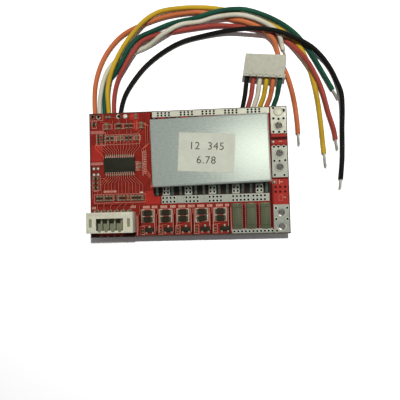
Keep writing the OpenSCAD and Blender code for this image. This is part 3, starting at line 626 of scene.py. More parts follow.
@dataclass(frozen=True)
class BoardPlan:
    """Places on the board, in millimetres from its left and back edges."""

    low: Vector
    high: Vector

    def level(self, face: Face, lift: float = 0.0) -> float:
        """Return the height of a face, in metres, lifted off it by millimetres."""
        if face is Face.TOP:
            return self.high.z + lift * MM
        return self.low.z - lift * MM

    def at(self, x: float, y: float, lift: float = 0.0, face: Face = Face.TOP) -> Vector:
        """Return a place in the frame.

        Args:
            x: Millimetres from the left edge.
            y: Millimetres from the back edge.
            lift: Millimetres off the face.
            face: Side of the board.

        Returns:
            The place, in metres.
        """
        return Vector((self.low.x + x * MM, self.high.y - y * MM, self.level(face, lift)))

    def placing(
        self, x: float, y: float, size: tuple[float, float, float], lift: float = 0.0,
        turn: float = 0.0, face: Face = Face.TOP,
    ) -> Placing:
        """Return a placing of a unit shape, its size in millimetres."""
        return Placing(
            tuple(self.at(x, y, lift, face)),
            (size[0] * MM, size[1] * MM, size[2] * MM * face.value),
            turn,
        )


def solids(node: str) -> list[Box]:
    """Find the boxes of a node's separate solids.

    Args:
        node: Name of the node.

    Returns:
        Lowest and highest corner of each solid, from left to right.
    """
    data = NODES[node].data
    leader = list(range(len(data.vertices)))

    def first(i: int) -> int:
        """Return the vertex that stands for the solid that vertex i is in."""
        while leader[i] != i:
            leader[i] = leader[leader[i]]
            i = leader[i]
        return i

    same: dict[tuple[int, ...], int] = {}
    for vertex in data.vertices:
        key = tuple(round(c / (0.0005 * MM)) for c in vertex.co)
        leader[first(vertex.index)] = first(same.setdefault(key, vertex.index))
    for face in data.polygons:
        for i in face.vertices[1:]:
            leader[first(i)] = first(face.vertices[0])
    groups: dict[int, list[Vector]] = {}
    for vertex in data.vertices:
        groups.setdefault(first(vertex.index), []).append(vertex.co)
    boxes = []
    for points in groups.values():
        array = np.array(points)
        boxes.append((Vector(array.min(0)), Vector(array.max(0))))
    return sorted(boxes, key=lambda b: (round(b[0].x, 5), b[0].y))


def ribbons(
    paths: list[list[Vector]],
    width: float,
    height: float,
    name: str,
    closed: bool = False,
) -> bpy.types.Object:
    """Sweep flat ribbons along paths that lie on a face.

    Args:
        paths: Points of each ribbon, in metres.
        width: Width, in millimetres.
        height: Height over the face, in millimetres.
        name: Name of the piece.
        closed: Whether each path returns to its start.

    Returns:
        One mesh of all the ribbons, half of it below the face.
    """
    level = paths[0][0].z
    curve = bpy.data.curves.new(name, "CURVE")
    curve.dimensions = "3D"
    curve.bevel_depth = width * MM / 2
    curve.bevel_resolution = 0 if closed else 1
    curve.use_fill_caps = not closed
    for path in paths:
        spline = curve.splines.new("POLY")
        spline.points.add(len(path) - 1)
        spline.use_cyclic_u = closed
        for point, place in zip(spline.points, path):
            point.co = (place.x, place.y, 0, 1)
    obj = bpy.data.objects.new(name, curve)
    bpy.context.scene.collection.objects.link(obj)
    only(obj)
    bpy.ops.object.convert(target="MESH")
    obj = bpy.context.object
    obj.scale.z = 2 * height / width
    obj.location.z = level
    return settle(obj, name)


def frame_path(plan: BoardPlan, x0: float, y0: float, x1: float, y1: float) -> list[Vector]:
    """Return the corners of a printed frame, in millimetres from left and back."""
    return [plan.at(x, y) for x, y in ((x0, y0), (x1, y0), (x1, y1), (x0, y1))]


def tube(
    path: list[Vector], radius: float, name: str, sides: int = 4, caps: bool = True
) -> bpy.types.Object:
    """Make a round tube as a curve of one open spline.

    Args:
        path: Points of its centreline, in metres.
        radius: Radius, in millimetres.
        name: Name of the piece.
        sides: Blender's bevel resolution.
        caps: Whether the ends are closed.

    Returns:
        The curve object.
    """
    curve = bpy.data.curves.new(name, "CURVE")
    curve.dimensions = "3D"
    curve.bevel_depth = radius * MM
    curve.bevel_resolution = sides
    curve.use_fill_caps = caps
    spline = curve.splines.new("POLY")
    spline.points.add(len(path) - 1)
    for point, place in zip(spline.points, path):
        point.co = (*place, 1)
    spline.use_smooth = True
    obj = bpy.data.objects.new(name, curve)
    bpy.context.scene.collection.objects.link(obj)
    return obj


def smooth_path(points: list[Vector], steps: int, lowest: float) -> list[Vector]:
    """Draw a smooth curve through points.

    Args:
        points: Points that the curve passes.
        steps: Stretches between two points.
        lowest: Height under which the curve never goes.

    Returns:
        Points along the curve.
    """
    q = [2 * points[0] - points[1], *points, 2 * points[-1] - points[-2]]
    path = []
    for i in range(1, len(q) - 2):
        a, b, c, d = q[i - 1 : i + 3]
        for k in range(steps):
            t = k / steps
            path.append(
                0.5
                * (
                    2 * b
                    + (c - a) * t
                    + (2 * a - 5 * b + 4 * c - d) * t * t
                    + (3 * b - a - 3 * c + d) * t * t * t
                )
            )
    path.append(points[-1].copy())
    for point in path:
        point.z = max(point.z, lowest)
    return path


# ---- Light, floor and camera ----------------------------------------------------------
@dataclass
class Studio:
    """White floor, dim sky, small key lamp above and behind, and the camera."""

    eye: tuple[float, float, float] = (0.01074, -0.01283, 0.12228)
    turn_deg: tuple[float, float, float] = (2.05, 3.60, -1.46)
    lens_mm: float = 35.38
    floor_size: float = 6.0
    seen_white: float = 1.32
    sky: float = 0.13
    mirrored: float = 0.45
    key_watts: float = 0.82
    key_at: tuple[float, float, float] = (0.03, 0.086, 0.29)
    key_size: float = 0.015
    gloss_watts: float = 0.17
    gloss_at: tuple[float, float, float] = (0.105, 0.05, 0.31)
    gloss_size: float = 0.15

    def camera(self) -> None:
        """Place the camera over the board, a few degrees off plumb."""
        data = bpy.data.cameras.new("camera")
        data.sensor_width = 36.0
        data.lens = self.lens_mm
        data.clip_start = 0.005
        data.clip_end = 20.0
        obj = bpy.data.objects.new("camera", data)
        obj.location = self.eye
        obj.rotation_euler = [math.radians(a) for a in self.turn_deg]
        bpy.context.scene.collection.objects.link(obj)
        bpy.context.scene.camera = obj

    def lamp(self, name: str, at: tuple[float, float, float], watts: float,
             size: float) -> bpy.types.Object:
        """Add a square lamp that faces the board."""
        data = bpy.data.lights.new(name, "AREA")
        data.shape = "SQUARE"
        data.size = size
        data.energy = watts
        obj = bpy.data.objects.new(name, data)
        obj.location = at
        obj.rotation_euler = (-Vector(at)).to_track_quat("-Z", "Y").to_euler()
        bpy.context.scene.collection.objects.link(obj)
        return obj

    def world(self) -> None:
        """Make a sky that lights softly and shows white."""
        world = bpy.data.worlds.new("sky")
        world.use_nodes = True
        bpy.context.scene.world = world
        tree = world.node_tree
        tree.nodes.clear()
        ray = add_node(tree, "ShaderNodeLightPath")
        layer = None
        for strength, kind in ((self.sky, ""), (self.mirrored, "Is Glossy Ray"),
                               (1.0, "Is Transmission Ray"), (1.0, "Is Camera Ray")):
            plain = add_node(tree, "ShaderNodeBackground",
                             inputs={"Color": (1, 1, 1, 1), "Strength": strength})
            layer = plain if layer is None else add_node(
                tree, "ShaderNodeMixShader",
                inputs={0: ray.outputs[kind], 1: layer.outputs[0], 2: plain.outputs[0]})
        add_node(tree, "ShaderNodeOutputWorld", inputs={"Surface": layer.outputs[0]})

    def floor(self) -> None:
        """Lay a white sheet that keeps shadows and shows white elsewhere."""
        deselect()
        bpy.ops.mesh.primitive_plane_add(size=self.floor_size, location=(0, 0, -0.00003))
        floor = bpy.context.object
        settle(floor, "floor")
        made = bpy.data.materials.new("white_sheet")
        made.use_nodes = True
        tree = made.node_tree
        tree.nodes.clear()
        ray = add_node(tree, "ShaderNodeLightPath")
        paper = add_node(tree, "ShaderNodeBsdfDiffuse", inputs={"Color": (0.86, 0.86, 0.86, 1)})
        seen = add_node(tree, "ShaderNodeBsdfDiffuse",
                        inputs={"Color": (self.seen_white,) * 3 + (1,)})
        sheet = add_node(tree, "ShaderNodeMixShader",
                         inputs={0: ray.outputs["Is Camera Ray"], 1: paper.outputs[0],
                                 2: seen.outputs[0]})
        add_node(tree, "ShaderNodeOutputMaterial", inputs={"Surface": sheet.outputs[0]})
        floor.data.materials.append(made)

    def build(self) -> None:
        """Build camera, sky, floor and lamps."""
        self.camera()
        self.world()
        self.floor()
        key = self.lamp("key", self.key_at, self.key_watts, self.key_size)
        key.visible_glossy = False
        gloss = self.lamp("gloss", self.gloss_at, self.gloss_watts, self.gloss_size)
        gloss.visible_diffuse = False
        gloss.data.color = (1.0, 0.96, 0.9)
        bpy.context.scene.view_settings.view_transform = "Standard"


# ---- Balance lead ------------------------------------------------------------------
@dataclass(frozen=True)
class Wire:
    """One wire of the lead: colour, real length, stripped end and route, in mm."""

    colour: str
    length: float
    bare: float
    route: tuple[tuple[float, float, float], ...]


WIRES = (
    Wire(
        "black", 179, 3,
        ((18, 23.8, 1.4), (16.9, 18.8, 0.8), (16.3, 15.3, 0.7), (14.6, 12.4, 0.7),
         (11.5, 10.7, 0.7), (4, 9.9, 0.7), (-5, 8.9, 0.7), (-11, 8.6, 0.7), (-16.2, 9.2, 0.7),
         (-18.9, 11.1, 0.7), (-20.8, 13.8, 0.7), (-21.4, 18.5, 0.7), (-19.9, 25, 0.7),
         (-16.4, 30.6, 0.7), (-12.2, 35.2, 0.7), (-6.8, 39.1, 0.7), (-1.2, 41.8, 0.7),
         (5, 43.2, 0.8), (12.6, 44.1, 1.5), (20, 43.7, 3.3), (25.4, 42.9, 3.75), (29.2, 41.9, 3.7),
         (33, 40.6, 2.9), (38, 37.9, 2.3), (41.4, 35.1, 1.3), (43.8, 32, 0.7), (45.7, 28, 0.7),
         (46.9, 23.2, 2), (47.3, 18.6, 1.5), (47.2, 12, 0.7), (46.9, 3.5, 0.7), (46.2, -3.2, 0.7)),
    ),
    Wire(
        "red", 175, 3.3,
        ((19.9, 23.6, 1.6), (18.5, 18.8, 0.8), (17.7, 14.7, 0.7), (15.6, 11.4, 0.7),
         (12.3, 9.3, 0.7), (4, 8.2, 0.7), (-5, 7.3, 0.7), (-11, 6.8, 0.7), (-16.9, 7.6, 0.7),
         (-20.2, 9.8, 0.7), (-22.4, 13.1, 0.7), (-23.3, 18.5, 0.7), (-23.2, 25, 0.7),
         (-21.9, 30.4, 0.8), (-19.5, 34.4, 1.6), (-16.7, 38.6, 2.2), (-13.6, 42.3, 1.7),
         (-8.6, 44.5, 0.7), (-3, 45.3, 0.7), (4.6, 46.1, 0.7), (10.6, 46.4, 0.7),
         (16.5, 45.7, 0.7), (21.5, 44.7, 0.7), (25.4, 43.5, 0.7), (28.6, 42.2, 0.7),
         (31.6, 40.1, 0.7), (34.2, 37.2, 1.5), (37, 33.4, 2.2), (39.4, 28.9, 2.1), (41.6, 24, 1.1),
         (43.2, 17.5, 0.7), (44.6, 12.4, 0.7), (45.1, 9, 0.7)),
    ),
    Wire(
        "white", 157, 1.8,
        ((21.8, 23.4, 1.8), (20.2, 18.8, 0.9), (19.2, 14.1, 0.7), (16.7, 10.3, 0.7),
         (12.9, 7.8, 0.8), (8, 6.5, 1.5), (2, 5.2, 2.15), (-4, 4.2, 2.15), (-9.5, 3.1, 2.15),
         (-14.2, 2.3, 1.7), (-18.7, 3.3, 0.8), (-23.5, 6.5, 0.7), (-26.7, 11.3, 0.7),
         (-27.9, 18.5, 0.7), (-27.8, 24.5, 0.7), (-26.4, 31, 0.7), (-23.9, 35.4, 0.7),
         (-20.4, 38, 0.7), (-16.2, 39.4, 0.7), (-11.8, 41.1, 0.8), (-7, 43.9, 2.2),
         (-1.6, 46.7, 1.9), (4.7, 47.8, 1), (10.2, 48.5, 2.1), (16.6, 48.7, 2.2),
         (21.6, 47.3, 2.2), (25.8, 45, 2.2), (28.1, 42.9, 2.3), (29.2, 40.9, 2), (29.8, 39.2, 1),
         (30.3, 37.6, 0.7)),
    ),
    Wire(
        "yellow", 195, 4.4,
        ((23.7, 23.2, 2), (22, 18.8, 1), (20.8, 13.4, 0.7), (17.9, 9.1, 0.7), (13.6, 6.2, 0.7),
         (8, 4.6, 0.7), (1, 4, 0.7), (-5, 4.8, 0.7), (-11.5, 5.3, 0.7), (-17.5, 6.1, 0.7),
         (-21.3, 8.7, 0.7), (-23.9, 12.5, 0.7), (-24.9, 18.5, 0.7), (-25, 22.5, 1.4),
         (-24.9, 26.6, 2.2), (-24.1, 31, 2.2), (-22.5, 35.4, 2.2), (-19.6, 40.6, 2.2),
         (-16.2, 45, 2.2), (-12.6, 48.6, 2.2), (-8.2, 51.3, 1.7), (-2.4, 52.6, 0.7),
         (4.8, 52.5, 0.7), (10.5, 51.7, 0.7), (16, 50.2, 0.7), (22, 47.9, 0.7), (28, 45, 0.7),
         (32.6, 41.5, 0.7), (35.6, 37.8, 0.7), (37.5, 33.4, 0.7), (38.8, 28.8, 0.7),
         (40, 22.5, 0.7), (40.8, 15, 0.7), (41.2, 9, 0.7), (41.5, 4.9, 0.7)),
    ),
    Wire(
        "orange", 195, 3.6,
        ((25.7, 23, 2.2), (24, 18.8, 1.1), (22.5, 12.7, 0.7), (19.2, 7.8, 0.7), (14.3, 4.5, 1.6),
         (8, 2.7, 2.15), (1, 1.4, 2.15), (-5, 0.7, 1.3), (-12.5, 0.6, 0.7), (-19.2, 1.9, 0.7),
         (-24.9, 5.1, 0.7), (-28.4, 10.6, 0.7), (-29.3, 17, 0.7), (-29.6, 24, 0.7),
         (-29.1, 30, 0.7), (-27.2, 36, 0.7), (-24, 41.2, 0.7), (-19.6, 45.3, 0.7),
         (-13.2, 48.2, 0.7), (-6.2, 50.2, 0.7), (0, 50.9, 0.7), (5, 50.9, 0.7), (10.5, 49.4, 0.7),
         (15, 48, 0.7), (18.4, 46.7, 1.7), (21.6, 45.1, 2.2), (24.8, 43, 2.2), (27.2, 40.6, 1.7),
         (28.3, 37.8, 0.8), (29, 34.9, 0.7), (30.1, 32.2, 0.7), (31.3, 29.2, 0.7), (32.4, 25, 0.7),
         (33.2, 20.5, 0.7), (33.7, 15.6, 0.7), (33.9, 11.2, 0.7)),
    ),
    Wire(
        "green", 184, 3.4,
        ((27.7, 22.8, 2.4), (26.2, 18.8, 1.2), (24.6, 11.8, 0.7), (20.8, 6.2, 0.7),
         (15.2, 2.4, 0.7), (8.6, 1.1, 0.7), (2, 1.7, 0.7), (-5.5, 2.9, 0.7), (-12, 3.8, 0.7),
         (-18.1, 4.7, 0.7), (-22.4, 7.6, 0.7), (-25.3, 11.9, 0.7), (-26.4, 18.5, 0.7),
         (-26.2, 25.4, 0.7), (-25, 30, 0.7), (-22.8, 32.8, 0.8), (-20.4, 35.8, 1.8),
         (-18.2, 39.6, 2.3), (-15, 43.1, 2), (-10.4, 45.7, 0.9), (-4, 48, 0.7), (3, 49.1, 0.8),
         (7.8, 49.7, 2.2), (13, 50.5, 2.2), (18.5, 50.3, 2.2), (23.8, 49, 1.3), (29, 46.6, 0.7),
         (33.6, 43, 0.7), (37.1, 38.7, 0.7), (39.6, 34.4, 0.7), (42, 29.8, 0.7), (44.8, 24.4, 0.7)),
    ),
)


@dataclass
class BalanceLead:
    """Six soft wires crimped into a plug, with their other ends stripped."""

    finishes: Finishes
    wire_d: float = 1.4
    strand_r: float = 0.13
    strand_ring: float = 0.25
    strand_lay: float = 4.5
    plug_at: Point = (24.5, 31.8)
    plug_turn: float = math.radians(-9)
    plug_tilt: float = math.radians(9)
    plug_w: float = 12.2
    plug_l: float = 6.2
    plug_h: float = 3.8
    hood_l: float = 0.7
    lip_l: float = 0.55
    lip_h: float = 0.35
    pitch: float = 2.0

    def plug_point(self, x: float, y: float, z: float) -> Vector:
        """Turn a place in the plug's own frame into one in the board's, in mm."""
        across = x * math.cos(self.plug_tilt) - z * math.sin(self.plug_tilt)
        height = (x + self.plug_w / 2) * math.sin(self.plug_tilt)
        return Vector(
            (
                self.plug_at[0] + across * math.cos(self.plug_turn)
                - y * math.sin(self.plug_turn),
                self.plug_at[1] + across * math.sin(self.plug_turn)
                + y * math.cos(self.plug_turn),
                height + z * math.cos(self.plug_tilt),
            )
        )

    def centreline(self, index: int) -> list[Vector]:
        """Return the smooth line of a wire, from the plug to where it is stripped."""
        x = (index - (len(WIRES) - 1) / 2) * self.pitch
        start = [self.plug_point(x, -self.plug_l / 2 - out, self.plug_h / 2) for out in (0, 2.5)]
        points = start + [Vector(p) for p in WIRES[index].route]
        path = smooth_path(points, 8, self.wire_d / 2)
        return [p * MM for p in path]

    def strands(self, wire: Wire, path: list[Vector]) -> bpy.types.Object:
        """Twist seven tinned strands that go on from a wire's end.

        Args:
            wire: The wire that they belong to.
            path: Its centreline.

        Returns:
            The strands, as one piece.
        """
        ahead = (path[-1] - path[-2]).normalized()
        side = ahead.cross(Vector((0, 0, 1))).normalized()
        up = side.cross(ahead)
        steps = 12
        made = []
        for k in range(7):
            ring = 0.0 if k == 0 else self.strand_ring
            reach = wire.bare - (0.0, 0.3, 0.05, 0.5, 0.15, 0.4, 0.25)[k]
            line = []
            for i in range(steps + 1):
                along = reach * i / steps
                splay = 1 + 0.25 * max(0.0, along / wire.bare - 0.7) / 0.3
                angle = math.tau * (k / 6 + along / self.strand_lay)
                out = side * math.cos(angle) + up * math.sin(angle)
                line.append(path[-1] + (ahead * (along - 0.02) + out * ring * splay) * MM)
            made.append(tube(line, self.strand_r, f"strand_{k}", 1))
        obj = joined(made, f"strands_{wire.colour}")
        self.finishes.dress(obj, "tinned_strands")
        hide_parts("wire_tips")
        return finished(obj)

    def build(self) -> None:
        """Build plug, contacts, wires and stripped ends."""
        plug = self.finishes.coat(softened("plug_housing", "plug_shell", 0.1),
                                  "grey_nylon", "grey_nylon")
        lip = slab_shape(0.05)
        lip.scale = (self.plug_w * MM, self.lip_l * MM, self.lip_h * MM)
        lip.rotation_euler = (0, -self.plug_tilt, self.plug_turn)
        lip.location = self.plug_point(
            0, -self.plug_l / 2 - self.hood_l + self.lip_l / 2, self.plug_h - self.lip_h / 2
        ) * MM
        settle(lip, "plug_lip")
        self.finishes.coat(lip, "grey_nylon", "grey_nylon")
        contacts = self.finishes.dress(NODES["plug_contacts"], "contact_bronze")
        for index, wire in enumerate(WIRES):
            path = self.centreline(index)
            obj = tube(path, self.wire_d / 2, f"insulation_{wire.colour}")
            self.finishes.dress(obj, f"insulation_{wire.colour}")
            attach(obj, ROOT)
            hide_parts(f"wire_{wire.colour}")
            ends = self.strands(wire, path)
            LOG.info("wire %s: %d points", wire.colour, len(path))


# ---- Printed board ----------------------------------------------------------------------
@dataclass
class Tracks:
    """Copper tracks under the mask, each in its etched gap."""

    plan: BoardPlan
    finishes: Finishes
    width: float = 0.27
    gap: float = 0.6
    height: float = 0.045
    chip_x: float = 9.3
    chip_leads: int = 14
    lead_pitch: float = 0.65
    header_x: float = 2.1
    header_pitch: float = 2.0

    def fan(self, lead_y: float, row_y: float, row: tuple[float, float]) -> list[list[Point]]:
        """Spread tracks from one side of the controller to a row of small chips.

        Args:
            lead_y: Where the leads' feet are.
            row_y: Where the row is.
            row: Left and right end of the row.

        Returns:
            Points of each track.
        """
        way = 1 if row_y > lead_y else -1
        paths = []
        last = self.chip_leads - 1
        for i in range(self.chip_leads):
            x0 = self.chip_x + (i - last / 2) * self.lead_pitch
            x1 = row[0] + (row[1] - row[0]) * i / last
            shift = abs(x1 - x0)
            inner = min(i, last - i)
            room = abs(row_y - lead_y) - shift - 0.3
            start = lead_y + way * min(0.25 + 0.22 * inner, max(room, 0.1))
            paths.append([(x0, lead_y), (x0, start), (x1, start + way * shift), (x1, row_y)])
        return paths

    def front(self) -> list[list[Point]]:
        """Return the tracks of the component side."""
        paths = self.fan(12.9, 9.2, (2.6, 15.4))
        paths += self.fan(19.3, 25.0, (2.3, 16.2))
        # Row to header pins.
        for i, x in enumerate((2.4, 4.4, 6.9, 9.6, 11.3, 13.4)):
            pin = self.header_x + i * self.header_pitch
            paths.append([(x, 27.4), (x, 27.8), (pin, 27.8 + abs(pin - x)), (pin, 29.9)])
        # Upper caps down to the row behind the controller.
        for x0, x1 in ((5.5, 5.8), (9.2, 9.0), (11.6, 11.6), (12.9, 12.8), (16.1, 14.7)):
            bend = abs(x1 - x0)
            paths.append([(x0, 5.2), (x0, 6.6 - bend), (x1, 6.6), (x1, 7.0)])
        # Long tracks that go round the controller on the right.
        for k in range(4):
            out = 0.62 * k
            paths.append([(14.3, 17.2 - out), (15.2 + out / 3, 17.2 - out),
                          (18.6, 20.6 - out / 1.5), (18.6 + out / 5, 23.2)])
        for k in range(3):
            x = 17.4 + 0.62 * k
            paths.append([(16.4 + 0.2 * k, 3.4), (x, 4.4), (x, 10.2 - 0.3 * k),
                          (x - 1.4, 11.6 - 0.3 * k), (x - 1.4, 12.6)])
        # Supply tracks on the left and at the back.
        paths += [
            [(1.1, 1.9), (1.1, 2.8)], [(2.9, 1.9), (3.9, 2.9), (5.4, 2.9)],
            [(6.7, 1.3), (8.0, 1.3), (8.4, 1.7)], [(12.2, 1.2), (14.0, 1.2)],
            [(9.2, 2.2), (9.2, 3.0)], [(11.6, 2.2), (11.6, 3.0)],
            [(7.2, 2.4), (7.2, 5.2), (8.2, 6.2)], [(14.6, 2.6), (14.6, 5.6)],
            [(1.8, 9.4), (1.8, 10.8), (4.2, 13.2), (4.2, 14.4)],
            [(1.2, 20.0), (0.7, 20.5), (0.7, 26.4)], [(2.8, 21.4), (3.4, 22.0), (3.4, 24.0)],
            [(2.8, 20.0), (4.2, 20.0), (5.4, 21.2)],
        ]
        # Between the balancing channels.
        for x in (15.0, 20.55, 25.65, 31.1, 36.75):
            paths.append([(x, 28.6), (x, 31.2), (x - 0.4, 31.6), (x - 0.4, 36.4)])
            paths.append([(x + 1.0, 34.6), (x + 2.6, 34.6)])
        return paths

    def underside(self) -> list[list[Point]]:
        """Return the tracks of the underside, from the left as seen from above."""
        paths = []
        for k in range(5):
            pin = self.header_x + k * self.header_pitch
            y = 37.0 - 0.95 * k
            bend = min(1.6 + 0.5 * k, y - 30.8)
            end = 39.4 - 0.6 * (k % 3)
            paths.append([(pin, 30.4), (pin, y - bend), (pin + bend, y), (end, y)])
        for k in range(4):
            out = 0.95 * k
            x = 7.4 + 1.9 * k
            paths.append([(x, 22.4 - 0.2 * k), (x, 23.2 + out * 0.3),
                          (x + 2.0, 25.2 + out * 0.3), (12.4 - 0.2 * k, 25.2 + out * 0.3),
                          (17.6 - out * 0.4, 30.3 - out * 0.1),
                          (25.6, 30.3 + 0.5 * k), (28.4, 31.6 + 0.5 * k), (38.6, 31.7 + 0.5 * k)])
        # Loops behind, over the control area.
        paths += [
            [(16.4, 8.8), (16.4, 4.3), (10.6, 4.3), (9.4, 5.0)],
            [(17.6, 3.2), (11.6, 3.2), (10.2, 4.0)],
            [(7.2, 3.0), (6.2, 3.8), (6.2, 7.0), (8.0, 9.2), (12.0, 9.2)],
            [(4.0, 3.6), (4.0, 8.0), (7.0, 11.2), (17.4, 11.2)],
            [(14.8, 12.2), (14.8, 15.2), (13.4, 16.8)],
            [(17.0, 9.4), (17.0, 21.0)],
        ]
        return paths

    def lay(self, paths: list[list[Point]], face: Face, tag: str) -> None:
        """Lay the gap and the track of each path on a face."""
        places = [[self.plan.at(x, y, 0, face) for x, y in path] for path in paths]
        gaps = ribbons(places, self.gap, self.height * 0.35, f"etched_gaps_{tag}")
        self.finishes.coat(gaps, "masked_gap_and_painted_shade", "board_mask")
        lines = ribbons(places, self.width, self.height, f"tracks_{tag}")
        self.finishes.coat(lines, "masked_track", "board_mask")

    def build(self) -> None:
        """Build the tracks of both faces."""
        self.lay(self.front(), Face.TOP, "top")
        self.lay(self.underside(), Face.UNDER, "under")


@dataclass
class MaskedAreas:
    """Broad copper areas under the mask, the deep gaps between them, and two dark slabs of painted
    shade: in front of the header and under the plate's front edge.
    """

    plan: BoardPlan
    finishes: Finishes
    height: float = 0.02

    def slabs(self, boxes: list[tuple[float, float, float, float]], face: Face,
              name: str) -> bpy.types.Object:
        """Lay thin slabs, given by left, back, right and front, on a face."""
        placings = [
            self.plan.placing((x0 + x1) / 2, (y0 + y1) / 2,
                              (x1 - x0, y1 - y0, 2 * self.height), 0, 0, face)
            for x0, y0, x1, y1 in boxes
        ]
        return scatter(slab_shape(0.04), placings, name)

    def build(self) -> None:
        """Build pours, gaps and painted shade of both faces."""
        pours = self.slabs(
            [(0.5, 9.8, 4.0, 14.8), (12.6, 0.4, 15.4, 2.4), (16.8, 24.3, 21.4, 28.2),
             (13.6, 2.6, 15.2, 5.6), (55.4, 10.2, 59.8, 11.3), (55.4, 21.9, 59.8, 29.6),
             (0.5, 30.4, 2.0, 31.2), (55.4, 8.5, 59.8, 9.2)],
            Face.TOP, "copper_pours_top")
        self.finishes.coat(pours, "masked_pour", "board_mask")
        # Two of these slabs are painted shade, not gaps: the strip in front of the header (0.4 to
        # 14.0) and the band under the plate's front edge (19.7 to 54.3).
        gaps = self.slabs(
            [(14.9, 30.6, 15.5, 37.6), (20.0, 29.9, 20.7, 37.6), (25.3, 29.9, 25.9, 37.6),
             (30.7, 29.9, 31.4, 37.6), (36.3, 29.9, 37.0, 37.6), (41.6, 28.6, 42.4, 37.6),
             (45.9, 29.3, 46.9, 36.2), (50.1, 29.3, 51.0, 36.2), (54.3, 23.0, 55.0, 36.0),
             (54.9, 0.4, 55.15, 21.6), (55.2, 9.25, 59.8, 10.1), (55.2, 21.45, 59.8, 21.75),
             (0.4, 28.3, 13.6, 28.55), (0.4, 15.0, 0.65, 24.0),
             (0.4, 36.6, 14.0, 37.6), (19.7, 22.6, 54.3, 25.95), (18.9, 0.4, 19.4, 2.2)],
            Face.TOP, "copper_gaps_and_painted_shade_top")
        self.finishes.coat(gaps, "masked_gap_and_painted_shade", "board_mask")
        under = self.slabs(
            [(14.2, 8.85, 59.8, 9.5), (17.0, 21.15, 59.8, 21.95), (18.4, 22.0, 18.9, 28.4),
             (54.4, 21.9, 54.9, 28.0), (42.4, 32.15, 50.6, 32.6), (18.2, 9.4, 18.7, 20.8)],
            Face.UNDER, "copper_gaps_under")
        self.finishes.coat(under, "masked_gap_and_painted_shade", "board_mask")


